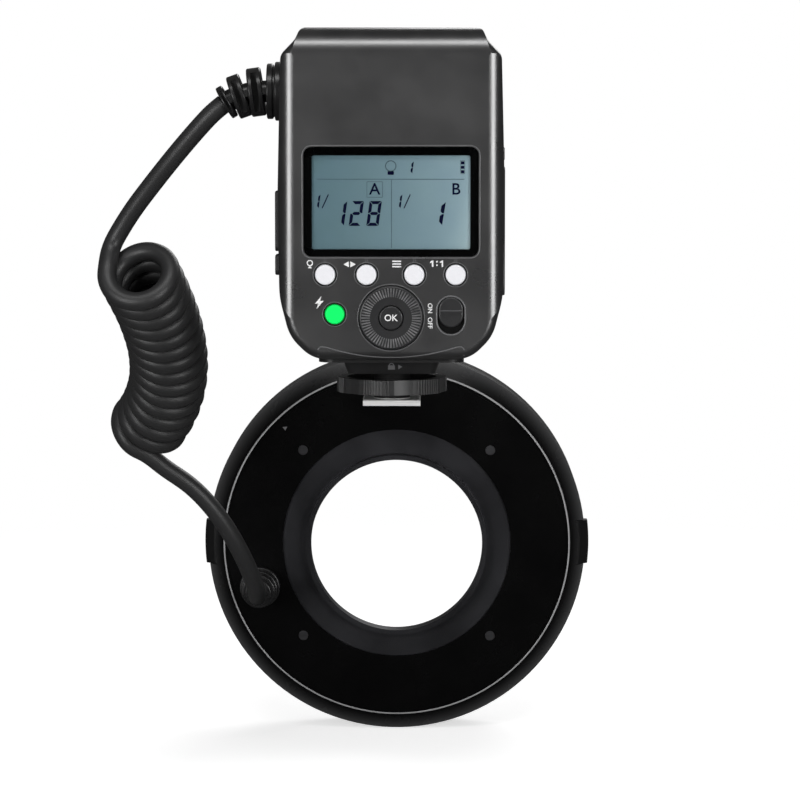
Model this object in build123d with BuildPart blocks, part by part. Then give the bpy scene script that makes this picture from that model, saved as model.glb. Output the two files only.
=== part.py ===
from build123d import *
from math import cos, degrees, radians, sin, sqrt, tan
import os

# Macro ring flash: a control unit on a shoe foot, a curly cord and a ring head, in millimetres.
# The origin is the centre of the foot's underside. +Z is up and +Y points along the lens.

# General fits
overrun = 2.0  # how far a cutting tool runs past the face it cuts
fit_gap = 0.1  # between pieces seated on each other
slide_gap = 0.25  # round a piece that moves in an opening
board_slack = 0.4  # between a circuit board and the case
turn = 360.0  # degrees in a full turn
quarter_turn = 90.0
half = 0.5

# Shoe foot, lock wheel and neck
foot_width = 18.6
foot_length = 18.0
foot_thickness = 1.9
foot_chamfer = 0.3
stem_diameter = 11.8
rail_gap = 2.2  # room for the shoe's rails between foot and wheel
wheel_diameter = 35.8
wheel_height = 4.8
wheel_bore_gap = 0.08
wheel_dish_diameter = 29.0
wheel_dish_depth = 2.6
wheel_scallop_depth = 0.55
wheel_rib_diameter = 0.7
wheel_sections = 6
wheel_ribs_per_section = 9
neck_gap = 1.8  # between wheel and neck
neck_top_width = 31.0
neck_bottom_width = 28.2
neck_top_length = 27.0
neck_bottom_length = 25.0
neck_height = 4.2
neck_corner = 3.0
lock_pin_diameter = 2.0
lock_pin_length = 8.2
lock_pin_gap = 0.06
lock_pin_x = 2.4
lock_pin_y = 3.6
centre_contact_diameter = 2.2
side_contact_diameter = 1.4
contact_gap = 0.05
contact_depth = 1.2
inner_contact_spacing = 5.2
inner_contact_y = -6.0
outer_contact_spacing = 10.4
outer_contact_y = -3.2

# Base plate
base_plate_width = 46.6
base_plate_length = 39.0
base_plate_thickness = 1.3
base_plate_corner = 5.0
base_screw_spacing_x = 34.0
base_screw_spacing_y = 30.0
base_screw_length = 5.0
screw_head_diameter = 3.6
screw_head_height = 0.9
screw_shank_diameter = 2.0

# Control unit's case
case_width = 72.5
case_height = 105.4
top_inset = 7.45  # each inset is from the case's widest side
brow_inset = 5.85
brow_drop = 3.8
shoulder_inset = 1.15
shoulder_drop = 8.7
waist_height = 49.8
hip_inset = 0.65
hip_height = 19.8
heel_inset = 3.85
heel_height = 7.3
bottom_inset = 11.25
top_corner = 2.5
brow_corner = 6.0
shoulder_corner = 4.0
waist_corner = 200.0
hip_corner = 30.0
heel_corner = 14.0
bottom_corner = 11.0
panel_depth = 25.0  # from the foot's centre back to the rear panel
front_depth = 27.0  # from the foot's centre to the front face
panel_round = 2.7
side_round = 5.4
top_round = 9.0
front_round = 5.0
wall = 2.2
least_round = 0.3

# Display
window_width = 55.5
window_height = 34.7
window_corner = 2.6
window_thickness = 1.2
mask_thickness = 0.2
window_level = 50.3  # centre, above the case's bottom
view_width = 50.3
view_height = 29.8
view_corner = 0.6
view_drop = 0.2
lcd_margin = 1.7
lcd_thickness = 1.8
backlight_thickness = 2.4
backlight_margin = 1.2
board_thickness = 1.6
board_top_margin = 6.0
board_post_diameter = 3.0
board_post_spacing_x = 62.0
board_post_spacing_z = 39.0

# Keys on the rear panel
key_diameter = 6.4
key_proud = 0.9
key_edge = 0.5
key_travel = 0.5
key_flange_width = 0.8
key_flange_thickness = 0.8
key_row_level = 27.2
key_place_shares = (-0.577, -0.215, 0.204, 0.567)  # of half the case's width
test_key_diameter = 6.1
test_key_level = 14.6
test_key_place_share = -0.494
set_key_diameter = 7.6
set_key_proud = 1.9
set_key_flange_width = 0.5
set_key_length = 6.4
tact_size = 3.4

# Select dial
dial_diameter = 20.4
dial_proud = 1.2
dial_level = 13.5
dial_hub_diameter = 13.0
dial_hub_length = 3.0
dial_flange_width = 0.7
dial_flange_thickness = 0.9
dial_rib_width = 0.36
dial_rib_height = 0.35
dial_rib_length = 2.8
dial_rib_count = 60
dial_rib_inset = 0.7
dial_hole_gap = 0.2
encoder_diameter = 12.8
encoder_bore = 8.6

# Power switch
switch_place_share = 0.526
switch_level = 14.2
slot_width = 8.5
slot_height = 11.8
slot_depth = 1.1
slider_width = 7.9
slider_height = 9.6
slider_proud = 0.7
slider_edge = 0.5
slider_ridge_thickness = 0.7
switch_travel = 1.8
switch_stem_width = 3.0
switch_clip_width = 4.6
switch_clip_thickness = 0.8
switch_stem_length = 2.0
switch_body_width = 7.0
switch_body_height = 6.4

# Battery and what holds it, on the right side
battery_length = 65.0
battery_thickness = 22.0
battery_height = 42.0
battery_corner = 3.0
battery_proud = 0.5
battery_level = 39.8
battery_gap = 0.3
bay_wall = 1.2
bay_side_slack = 2.6
contact_room = 2.0
battery_contact_thickness = 1.7
battery_contact_width = 4.0
battery_contact_height = 6.0
battery_contact_spacing = 9.0
battery_contact_count = 3
release_width = 8.0
release_height = 4.4
release_length = 5.4
release_proud = 0.5

# Boards and parts inside
transformer_width = 20.0
transformer_depth = 14.0
transformer_slack = 0.6
capacitor_diameter = 22.8
capacitor_length = 50.0
capacitor_edge = 1.0
upper_socket_height = 9.0
upper_socket_depth = 3.4
lower_socket_height = 5.2
lower_socket_depth = 5.0
socket_length = 7.5
upper_flap_height = 19.4
upper_flap_level = 43.5
lower_flap_height = 6.6
lower_flap_level = 29.4
flap_width = 8.4
flap_thickness = 2.2
flap_proud = 1.3
flap_corner = 1.6
flap_room = 0.3
flap_edge_setback = 1.0

# Cable gland and strain reliefs
gland_drop = 20.3  # below the case's top
gland_diameter = 19.0
gland_second_diameter = 17.9
gland_groove_diameter = 16.6
gland_ring_width = 2.1
gland_groove_width = 0.5
gland_neck_diameter = 12.8
gland_nut_diameter = 17.0
gland_nut_width = 1.5
gland_hole_gap = 0.1
gland_edge = 0.5
gland_seat_slack = 0.25
relief_hoop_diameters = (15.7, 14.2, 11.2)
relief_hoop_lengths = (4.6, 4.2, 2.25)
relief_gap_length = 1.25
relief_core_diameter = 7.0
relief_slot_share = 0.42  # of the hoop's length
relief_slot_wall = 1.6
relief_bar_width = 1.8
relief_edge = 0.5
relief_bend = 32.0
ring_relief_share = 0.86  # the ring head's strain relief against the upper one
boot_collar_diameter = 15.0
boot_collar_width = 2.2
boot_neck_diameter = 8.2
boot_flange_diameter = 10.8
boot_flange_width = 0.7
boot_x = -50.9
boot_drop = 16.5  # below the lens axis

# Cord
cord_diameter = 5.6
cord_bend_share = 0.45
least_bend_ratio = 4.8  # bend radius over the cord's diameter
coil_turn_radius = 9.8
coil_start_angle = 165.0
coil_full_turns = 14
coil_last_part = 82.0  # degrees of the unfinished turn
coil_fine_steps = 8
least_cord_gap = 0.4
gap_samples = 1400
coil_axis_points = [
    (-83.3, 5.0, 41.0),
    (-72.0, 31.0, 27.0),
    (-71.5, 57.0, 7.0),
    (-89.0, 81.0, -16.0),
]
upper_lead = 6.25
upper_route_places = [
    (-66.1, 1.2, 89.4),
    (-71.7, 4.0, 84.5),
    (-76.6, 7.9, 79.8),
    (-80.6, 11.0, 73.9),
    (-84.3, 13.2, 67.1),
    (-87.4, 13.7, 59.9),
]
lower_lead = 8.3
lower_route_places = [
    (-73.4, 76.9, -35.9),
    (-66.4, 78.3, -43.3),
    (-60.6, 80.3, -51.7),
    (-56.1, 83.8, -60.3),
    (-52.8, 89.5, -68.2),
    (-50.9, 97.3, -74.7),
    (-50.2, 106.5, -79.2),
    (-50.3, 116.5, -81.8),
]

# Ring head
ring_distance = 150.0  # from the foot's centre to the ring's rear face
ring_drop = 66.8  # the lens axis below the foot
ring_diameter = 140.4
ring_depth = 29.0
ring_bore = 85.0
ring_wall = 2.0
collar_wall = 1.8
collar_depth = 22.0
bezel_margin = 6.3  # from the ring's outside to the rear bezel's edge
bezel_groove_width = 0.5
bezel_groove_depth = 0.4
rim_slope = 4.0
ring_parting = 14.0
front_bevel = 2.6
post_clearance = 4.9  # from the ring's collar to a screw post's axis
post_diameter = 4.4
ring_screw_length = 8.0
ring_screw_sink = 1.3
stop_start = 7.15
stop_thickness = 1.85
stop_height = 1.1

# Adapter ring that screws into the lens
thread_diameter = 67.0
thread_length = 5.5
thread_wall = 1.7
adapter_gap = 0.08
adapter_start = 1.0
adapter_length = 6.0
adapter_web = 1.2
adapter_rim_wall = 3.4
adapter_groove_width = 3.0
adapter_groove_depth = 1.5

# Release yokes, buttons and springs
yoke_clearance = 8.9  # from the ring's collar to a yoke
yoke_width = 4.0
yoke_thickness = 1.0
yoke_start = 2.4
yoke_step = 1.3
claw_width = 8.0
claw_proud = 1.2  # past the ring's bore
claw_slot_gap = 0.3
release_travel = 2.0
release_stem_width = 6.0
release_button_height = 16.2
release_button_start = 2.4
release_button_end = 10.2
release_button_length = 7.0
release_button_proud = 1.4
release_button_slope = 3.4
release_button_edge = 0.6
release_button_gap = 0.2
spring_strip = 0.3
spring_width = 3.2
spring_start = 6.4
spring_half_span = 6.4
spring_gap = 0.1
spring_post_diameter = 1.6
spring_post_inset = 4.0  # from the release button's inner face
spring_post_spread = 6.0
spring_post_end = 9.8

# Flash windows, reflectors and tubes
light_margin = 4.7  # from the ring's outside to the flash windows
light_width = 12.7
light_end_gap = 8.0  # round the ring, from a flash window's end to the nearest lamp's lens
light_corner = 3.0
window_sink = 0.3
window_lip_width = 1.1
window_lip_thickness = 1.0
reflector_wall = 0.8
tube_diameter = 5.2
tube_level = 19.5
tube_end_span = 3.0
trigger_board_start = 10.6
trigger_board_gap = 0.7  # to the collar inside it and the rim outside it
lamp_angle = 8.5
lamp_diameter = 5.0
lamp_length = 6.6
lamp_post_diameter = 3.2
lamp_lens_diameter = 7.8
lamp_lens_flange = 0.8
lamp_lens_proud = 0.8

# Places that follow from the sizes above
wheel_bottom = foot_thickness + rail_gap
wheel_top = wheel_bottom + wheel_height
neck_bottom = wheel_top + neck_gap
neck_top = neck_bottom + neck_height
case_bottom = neck_top + base_plate_thickness
case_top = case_bottom + case_height
half_case = case_width * half
panel_y = -panel_depth
panel_inner_y = panel_y + wall
front_inner_y = front_depth - wall
window_z = case_bottom + window_level
view_z = window_z - view_drop
lcd_y = panel_inner_y + fit_gap * half
backlight_y = lcd_y + lcd_thickness
key_board_y = backlight_y + backlight_thickness
battery_y = front_inner_y - fit_gap - bay_wall - battery_gap - battery_thickness * half
battery_z = case_bottom + battery_level
battery_end_x = half_case + battery_proud
bay_rear_y = battery_y - battery_thickness * half - battery_gap - bay_wall
bay_bottom_z = battery_z - battery_height * half - battery_gap - bay_wall
bay_top_z = battery_z + battery_height * half + battery_gap + bay_wall
main_board_front_y = bay_rear_y - fit_gap
main_board_y = main_board_front_y - board_thickness
ring_y = ring_distance
ring_z = -ring_drop
ring_axis = Axis((0, 0, ring_z), (0, 1, 0))
half_ring = ring_diameter * half
half_bore = ring_bore * half

os.makedirs("parts", exist_ok=True)


def panel_plane(y):
    """A plane square to the lens axis at depth y, whose normal points back to the user."""
    return Plane(origin=(0, y, 0), x_dir=(1, 0, 0), z_dir=(0, -1, 0))


def ring_plane(depth):
    """The same in the ring head: centred on the lens axis, at a depth from the ring's rear face."""
    return Plane(origin=(0, ring_y + depth, ring_z), x_dir=(1, 0, 0), z_dir=(0, -1, 0))


# Case


def case_form(inset):
    """The control unit's outer form, drawn in by inset on every side."""
    right = [
        (half_case - top_inset, case_top),
        (half_case - brow_inset, case_top - brow_drop),
        (half_case - shoulder_inset, case_top - shoulder_drop),
        (half_case, case_bottom + waist_height),
        (half_case - hip_inset, case_bottom + hip_height),
        (half_case - heel_inset, case_bottom + heel_height),
        (half_case - bottom_inset, case_bottom),
    ]
    corners = [top_corner, brow_corner, shoulder_corner, waist_corner, hip_corner, heel_corner, bottom_corner]
    outline = right + [(-x, z) for x, z in reversed(right)]
    rear = panel_y + inset
    front = front_depth - inset
    side = half_case - inset
    low = case_bottom - overrun
    top = case_top - inset
    with BuildPart() as form:
        with BuildSketch(panel_plane(front)):
            with BuildLine():
                FilletPolyline(*outline, radius=corners + corners[::-1], close=True)
            make_face()
            if inset:
                offset(amount=-inset)
        extrude(amount=front - rear)
        fillet(form.edges().group_by(Axis.Y)[0], radius=max(panel_round - inset, least_round))
        with BuildSketch(Plane.YZ):
            with BuildLine():
                FilletPolyline(
                    (rear, low),
                    (rear, top),
                    (front, top),
                    (front, low),
                    radius=[0, top_round - inset, front_round - inset, 0],
                    close=True,
                )
            make_face()
        extrude(amount=case_width, both=True, mode=Mode.INTERSECT)
        with BuildSketch(Plane.XY.offset(low)):
            with BuildLine():
                FilletPolyline(
                    (-side, rear),
                    (side, rear),
                    (side, front),
                    (-side, front),
                    radius=[side_round - inset, side_round - inset, front_round - inset, front_round - inset],
                    close=True,
                )
            make_face()
        extrude(amount=case_height + overrun + overrun, mode=Mode.INTERSECT)
    return form.part


outer_form = case_form(0)
inner_form = case_form(wall)
board_form = case_form(wall + board_slack)

key_row_z = case_bottom + key_row_level
key_places = [(share * half_case, key_row_z) for share in key_place_shares]
test_key_place = (test_key_place_share * half_case, case_bottom + test_key_level)
dial_place = (0, case_bottom + dial_level)
switch_x = switch_place_share * half_case
switch_z = case_bottom + switch_level
switch_rest_z = switch_z + (slot_height - slider_height) * half - fit_gap * half
board_posts = [
    (x * board_post_spacing_x * half, window_z + z * board_post_spacing_z * half) for x in (-1, 1) for z in (-1, 1)
]
base_screw_places = [
    (x * base_screw_spacing_x * half, y * base_screw_spacing_y * half) for x in (-1, 1) for y in (-1, 1)
]
shank_gap = fit_gap * half

# Flaps and sockets on the left side, each as level, height and depth
flap_inner_x = flap_thickness - half_case - flap_proud
flap_y = -flap_edge_setback - flap_width * half
flap_list = [
    ("port_cover_upper", case_bottom + upper_flap_level, upper_flap_height),
    ("port_cover_lower", case_bottom + lower_flap_level, lower_flap_height),
]
socket_list = [
    (case_bottom + upper_flap_level, upper_socket_height, upper_socket_depth),
    (case_bottom + lower_flap_level, lower_socket_height, lower_socket_depth),
]
release_z = bay_top_z + battery_gap + release_height * half

# The gland goes through the sloping side wall between shoulder and waist
gland_z = case_top - gland_drop
slope_share = (gland_drop - shoulder_drop) / (case_height - shoulder_drop - waist_height)
gland_wall_x = half_case - shoulder_inset + shoulder_inset * slope_share
gland_face_x = -gland_wall_x - gland_seat_slack
gland_second_x = gland_face_x - gland_ring_width - gland_groove_width
gland_end_x = gland_second_x - gland_ring_width
gland_nut_x = -gland_wall_x + wall + gland_seat_slack
gland_nut_end_x = gland_nut_x + gland_nut_width


def side_plane(x):
    """A plane square to X whose normal points left, with its first direction towards the user."""
    return Plane(origin=(x, 0, 0), x_dir=(0, -1, 0), z_dir=(-1, 0, 0))


# Everything that is cut through both shells: the gland's hole and the base screws' holes
with BuildPart() as shared_cuts:
    with BuildSketch(side_plane(-half_case - overrun)):
        with Locations((0, gland_z)):
            Circle(gland_neck_diameter * half + gland_hole_gap)
    extrude(amount=-overrun - wall - overrun - overrun)
    with BuildSketch(Plane.XY.offset(case_bottom - overrun)):
        with Locations(*base_screw_places):
            Circle(screw_shank_diameter * half + shank_gap)
    extrude(amount=overrun + wall + overrun)

# Rear shell with the display window, the keys' holes, the dial's hole and the side openings
with BuildPart() as rear_cover:
    add(outer_form)
    add(inner_form, mode=Mode.SUBTRACT)
    split(bisect_by=panel_plane(0), keep=Keep.TOP)
    with BuildSketch(panel_plane(key_board_y - fit_gap * half)):
        with Locations(*board_posts):
            Circle(board_post_diameter * half)
    extrude(amount=key_board_y - panel_inner_y + wall * half)
    with BuildSketch(panel_plane(panel_y + window_thickness + mask_thickness)):
        with Locations((0, window_z)):
            RectangleRounded(window_width + fit_gap, window_height + fit_gap, window_corner + fit_gap * half)
    extrude(amount=window_thickness + mask_thickness + overrun, mode=Mode.SUBTRACT)
    with BuildSketch(panel_plane(panel_inner_y + overrun * half)):
        with Locations((0, view_z)):
            RectangleRounded(view_width, view_height, view_corner)
        with Locations(*key_places):
            Circle(key_diameter * half + slide_gap)
        with Locations(test_key_place):
            Circle(test_key_diameter * half + slide_gap)
        with Locations(dial_place):
            Circle(dial_diameter * half + dial_hole_gap)
        with Locations((switch_x, switch_rest_z - switch_travel * half)):
            Rectangle(
                switch_stem_width + slide_gap + slide_gap,
                switch_stem_width + switch_travel + slide_gap + slide_gap,
            )
    extrude(amount=wall + overrun + overrun, mode=Mode.SUBTRACT)
    with BuildSketch(panel_plane(panel_y + slot_depth)):
        with Locations((switch_x, switch_z)):
            SlotOverall(slot_height, slot_width, rotation=quarter_turn)
    extrude(amount=slot_depth + overrun, mode=Mode.SUBTRACT)
    for level, height, depth in socket_list:
        with BuildSketch(side_plane(-half_case - overrun)):
            with Locations((-main_board_y + depth * half, level)):
                Rectangle(depth + slide_gap + slide_gap, height + slide_gap + slide_gap)
        extrude(amount=-overrun - wall - overrun, mode=Mode.SUBTRACT)
    for name, level, height in flap_list:
        with BuildSketch(side_plane(flap_inner_x + flap_room)):
            with Locations((-flap_y, level)):
                RectangleRounded(flap_width + slide_gap + slide_gap, height + slide_gap + slide_gap, flap_corner)
        extrude(amount=flap_thickness + overrun, mode=Mode.SUBTRACT)
    add(shared_cuts.part, mode=Mode.SUBTRACT)
rear_cover.part.label = "rear_cover"
export_step(rear_cover.part, "parts/rear_cover.step")

# Front shell with the battery's mouth and the release key's hole
with BuildPart() as front_case:
    add(outer_form)
    add(inner_form, mode=Mode.SUBTRACT)
    split(bisect_by=panel_plane(0), keep=Keep.BOTTOM)
    with BuildSketch(Plane.YZ.offset(half_case + overrun)):
        with Locations((battery_y, battery_z)):
            RectangleRounded(
                battery_thickness + slide_gap + slide_gap,
                battery_height + slide_gap + slide_gap,
                battery_corner + slide_gap,
            )
        with Locations((battery_y, release_z)):
            Rectangle(release_width + slide_gap, release_height + slide_gap)
    extrude(amount=-overrun - wall - overrun - bay_side_slack, mode=Mode.SUBTRACT)
    add(shared_cuts.part, mode=Mode.SUBTRACT)
front_case.part.label = "front_case"
export_step(front_case.part, "parts/front_case.step")

# Display window, its printed border, the segment display and its light
with BuildPart() as display_window:
    with BuildSketch(panel_plane(panel_y + window_thickness)):
        with Locations((0, window_z)):
            RectangleRounded(window_width, window_height, window_corner)
    extrude(amount=window_thickness)
display_window.part.label = "display_window"
export_step(display_window.part, "parts/display_window.step")

with BuildPart() as window_mask:
    with BuildSketch(panel_plane(panel_y + window_thickness + mask_thickness)):
        with Locations((0, window_z)):
            RectangleRounded(window_width, window_height, window_corner)
        with Locations((0, view_z)):
            RectangleRounded(view_width, view_height, view_corner, mode=Mode.SUBTRACT)
    extrude(amount=mask_thickness)
window_mask.part.label = "window_mask"
export_step(window_mask.part, "parts/window_mask.step")

with BuildPart() as lcd_panel:
    with BuildSketch(panel_plane(backlight_y)):
        with Locations((0, view_z)):
            Rectangle(view_width + lcd_margin + lcd_margin, view_height + lcd_margin + lcd_margin)
    extrude(amount=lcd_thickness)
lcd_panel.part.label = "lcd_panel"
export_step(lcd_panel.part, "parts/lcd_panel.step")

with BuildPart() as lcd_backlight:
    with BuildSketch(panel_plane(key_board_y)):
        with Locations((0, view_z)):
            Rectangle(
                view_width + backlight_margin + backlight_margin,
                view_height + backlight_margin + backlight_margin,
            )
    extrude(amount=backlight_thickness)
lcd_backlight.part.label = "lcd_backlight"
export_step(lcd_backlight.part, "parts/lcd_backlight.step")

# Keys: a cap through the panel and a flange behind it
key_flange_y = panel_inner_y + fit_gap
key_back_y = key_flange_y + key_flange_thickness
tact_top_y = key_back_y + key_travel + fit_gap


def press_key(place, diameter):
    """A round key whose flange rests behind the rear panel."""
    with BuildPart() as key:
        with BuildSketch(panel_plane(key_flange_y)):
            with Locations(place):
                Circle(diameter * half)
        extrude(amount=key_flange_y - panel_y + key_proud)
        fillet(key.edges().group_by(Axis.Y)[0], radius=key_edge)
        with BuildSketch(panel_plane(key_back_y)):
            with Locations(place):
                Circle(diameter * half + key_flange_width)
        extrude(amount=key_flange_thickness)
    return key.part


for number, place in enumerate(key_places, start=1):
    function_button = press_key(place, key_diameter)
    function_button.label = f"function_button_{number}"
    export_step(function_button, f"parts/function_button_{number}.step")

test_button = press_key(test_key_place, test_key_diameter)
test_button.label = "test_button"
export_step(test_button, "parts/test_button.step")

# Select dial: a ribbed disc in the panel, held by a flange and a hub behind it
dial_face_y = panel_y - dial_proud
dial_flange_y = panel_inner_y + fit_gap + fit_gap
dial_hub_end_y = panel_inner_y + dial_hub_length
set_radius = set_key_diameter * half
set_flange_radius = set_radius + set_key_flange_width
set_step_y = panel_inner_y + fit_gap
set_back_y = panel_y - set_key_proud + set_key_length

with BuildPart() as select_dial:
    with BuildSketch(panel_plane(dial_flange_y)):
        with Locations(dial_place):
            Circle(dial_diameter * half)
    extrude(amount=dial_flange_y - dial_face_y)
    fillet(select_dial.edges().group_by(Axis.Y)[0], radius=dial_rib_inset)
    with BuildSketch(panel_plane(dial_flange_y + dial_flange_thickness)):
        with Locations(dial_place):
            Circle(dial_diameter * half + dial_flange_width)
    extrude(amount=dial_flange_thickness)
    with BuildSketch(panel_plane(dial_hub_end_y)):
        with Locations(dial_place):
            Circle(dial_hub_diameter * half)
    extrude(amount=dial_hub_end_y - dial_flange_y)
    with BuildSketch(panel_plane(dial_face_y + fit_gap)):
        with Locations(dial_place):
            with PolarLocations(dial_diameter * half - dial_rib_inset - dial_rib_length * half, dial_rib_count):
                Rectangle(dial_rib_length, dial_rib_width)
    extrude(amount=dial_rib_height + fit_gap)
    with BuildSketch(panel_plane(dial_hub_end_y)):
        with Locations(dial_place):
            Circle(set_radius + slide_gap)
    extrude(amount=dial_hub_end_y - dial_face_y + overrun, mode=Mode.SUBTRACT)
    with BuildSketch(panel_plane(dial_hub_end_y)):
        with Locations(dial_place):
            Circle(set_flange_radius + slide_gap)
    extrude(amount=dial_hub_end_y - set_step_y, mode=Mode.SUBTRACT)
select_dial.part.label = "select_dial"
export_step(select_dial.part, "parts/select_dial.step")

with BuildPart() as set_button:
    with BuildSketch(panel_plane(set_back_y)):
        with Locations(dial_place):
            Circle(set_radius)
    extrude(amount=set_key_length)
    fillet(set_button.edges().group_by(Axis.Y)[0], radius=key_edge)
    with BuildSketch(panel_plane(set_back_y)):
        with Locations(dial_place):
            Circle(set_flange_radius)
    extrude(amount=set_back_y - set_step_y - fit_gap)
set_button.part.label = "set_button"
export_step(set_button.part, "parts/set_button.step")

with BuildPart() as dial_encoder:
    with BuildSketch(panel_plane(key_board_y)):
        with Locations(dial_place):
            Circle(encoder_diameter * half)
            Circle(encoder_bore * half, mode=Mode.SUBTRACT)
    extrude(amount=key_board_y - dial_hub_end_y - fit_gap)
dial_encoder.part.label = "dial_encoder"
export_step(dial_encoder.part, "parts/dial_encoder.step")

# Power switch: an obround slider with a cross ridge, its stem and a clip behind the panel
slider_floor_y = panel_y + slot_depth - fit_gap
switch_clip_y = panel_inner_y + fit_gap + switch_clip_thickness
switch_stem_end_y = switch_clip_y + switch_stem_length
slider_face_y = panel_y - slider_proud + slider_edge

with BuildPart() as power_switch:
    with BuildSketch(panel_plane(slider_floor_y)):
        with Locations((switch_x, switch_rest_z)):
            SlotOverall(slider_height, slider_width, rotation=quarter_turn)
    extrude(amount=slider_floor_y - slider_face_y)
    fillet(power_switch.edges().group_by(Axis.Y)[0], radius=slider_edge)
    with BuildSketch(panel_plane(slider_face_y + slider_edge)):
        with Locations((switch_x, switch_rest_z)):
            Rectangle(slider_width - slider_edge - slider_edge, slider_ridge_thickness)
    extrude(amount=slider_edge + slider_edge)
    with BuildSketch(panel_plane(switch_stem_end_y)):
        with Locations((switch_x, switch_rest_z)):
            Rectangle(switch_stem_width, switch_stem_width)
    extrude(amount=switch_stem_end_y - slider_floor_y)
    with BuildSketch(panel_plane(switch_clip_y)):
        with Locations((switch_x, switch_rest_z)):
            Rectangle(switch_clip_width, switch_clip_width)
    extrude(amount=switch_clip_thickness)
power_switch.part.label = "power_switch"
export_step(power_switch.part, "parts/power_switch.step")

# Key board behind the display, with the tact switches and the slide switch's body on it
with BuildPart() as button_board:
    add(board_form)
    split(bisect_by=panel_plane(key_board_y), keep=Keep.BOTTOM)
    split(bisect_by=panel_plane(key_board_y + board_thickness), keep=Keep.TOP)
    split(bisect_by=Plane.XY.offset(window_z + window_height * half + board_top_margin), keep=Keep.BOTTOM)
button_board.part.label = "button_board"
export_step(button_board.part, "parts/button_board.step")

with BuildPart() as board_switches:
    with BuildSketch(panel_plane(key_board_y)):
        with Locations(*key_places, test_key_place):
            Rectangle(tact_size, tact_size)
    extrude(amount=key_board_y - tact_top_y)
    with BuildSketch(panel_plane(key_board_y)):
        with Locations(dial_place):
            Rectangle(tact_size, tact_size)
    extrude(amount=key_board_y - set_back_y - key_travel - fit_gap)
    with BuildSketch(panel_plane(key_board_y)):
        with Locations((switch_x, switch_z)):
            Rectangle(switch_body_width, switch_body_height)
    extrude(amount=key_board_y - switch_stem_end_y - fit_gap)
board_switches.part.label = "board_switches"
export_step(board_switches.part, "parts/board_switches.step")

# Main board, with a notch for the gland's nut, and the sockets on it
notch_width = half_case + gland_nut_end_x + board_slack
with BuildPart() as main_board:
    add(board_form)
    split(bisect_by=panel_plane(main_board_y), keep=Keep.BOTTOM)
    split(bisect_by=panel_plane(main_board_front_y), keep=Keep.TOP)
    with BuildSketch(panel_plane(main_board_front_y + overrun)):
        with Locations((-half_case, gland_z)):
            Rectangle(notch_width + notch_width, gland_nut_diameter + board_slack + board_slack)
    extrude(amount=overrun + board_thickness + overrun, mode=Mode.SUBTRACT)
main_board.part.label = "main_board"
export_step(main_board.part, "parts/main_board.step")

socket_x = wall + board_slack - half_case + socket_length * half + fit_gap
with BuildPart() as side_sockets:
    for level, height, depth in socket_list:
        with BuildSketch(panel_plane(main_board_y)):
            with Locations((socket_x, level)):
                Rectangle(socket_length, height)
        extrude(amount=depth)
side_sockets.part.label = "side_sockets"
export_step(side_sockets.part, "parts/side_sockets.step")

# High-voltage transformer under the battery bay and the main capacitor over it
transformer_low = case_bottom + wall + transformer_slack
transformer_high = bay_bottom_z - transformer_slack
with BuildPart() as hv_transformer:
    with BuildSketch(panel_plane(main_board_front_y + transformer_depth)):
        with Locations((0, (transformer_low + transformer_high) * half)):
            Rectangle(transformer_width, transformer_high - transformer_low)
    extrude(amount=transformer_depth)
    fillet(hv_transformer.edges().filter_by(Axis.Y), radius=transformer_slack)
hv_transformer.part.label = "hv_transformer"
export_step(hv_transformer.part, "parts/hv_transformer.step")

capacitor_y = main_board_front_y + fit_gap + capacitor_diameter * half
capacitor_z = bay_top_z + battery_gap + capacitor_diameter * half
with BuildPart() as main_capacitor:
    with BuildSketch(Plane.YZ):
        with Locations((capacitor_y, capacitor_z)):
            Circle(capacitor_diameter * half)
    extrude(amount=capacitor_length * half, both=True)
    fillet(main_capacitor.edges().group_by(Axis.X)[0], radius=capacitor_edge)
    fillet(main_capacitor.edges().group_by(Axis.X)[-1], radius=capacitor_edge)
main_capacitor.part.label = "main_capacitor"
export_step(main_capacitor.part, "parts/main_capacitor.step")

# Battery bay, open to the right, its contacts, the battery pack and its release key
bay_left_x = battery_end_x - battery_length - contact_room - bay_wall
bay_right_x = half_case - wall - bay_side_slack
bay_inner_thickness = battery_thickness + battery_gap + battery_gap
bay_inner_height = battery_height + battery_gap + battery_gap
with BuildPart() as battery_bay:
    with BuildSketch(Plane.YZ.offset(bay_left_x)):
        with Locations((battery_y, battery_z)):
            Rectangle(bay_inner_thickness + bay_wall + bay_wall, bay_inner_height + bay_wall + bay_wall)
    extrude(amount=bay_right_x - bay_left_x)
    with BuildSketch(Plane.YZ.offset(bay_left_x + bay_wall)):
        with Locations((battery_y, battery_z)):
            Rectangle(bay_inner_thickness, bay_inner_height)
    extrude(amount=bay_right_x - bay_left_x, mode=Mode.SUBTRACT)
battery_bay.part.label = "battery_bay"
export_step(battery_bay.part, "parts/battery_bay.step")

with BuildPart() as battery_contacts:
    with BuildSketch(Plane.YZ.offset(bay_left_x + bay_wall)):
        with Locations((battery_y, battery_z)):
            with GridLocations(0, battery_contact_spacing, 1, battery_contact_count):
                Rectangle(battery_contact_width, battery_contact_height)
    extrude(amount=battery_contact_thickness)
battery_contacts.part.label = "battery_contacts"
export_step(battery_contacts.part, "parts/battery_contacts.step")

with BuildPart() as battery_pack:
    with BuildSketch(Plane.YZ.offset(battery_end_x - battery_length)):
        with Locations((battery_y, battery_z)):
            RectangleRounded(battery_thickness, battery_height, battery_corner)
    extrude(amount=battery_length)
    fillet(battery_pack.edges().group_by(Axis.X)[-1], radius=key_edge)
battery_pack.part.label = "battery_pack"
export_step(battery_pack.part, "parts/battery_pack.step")

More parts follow.
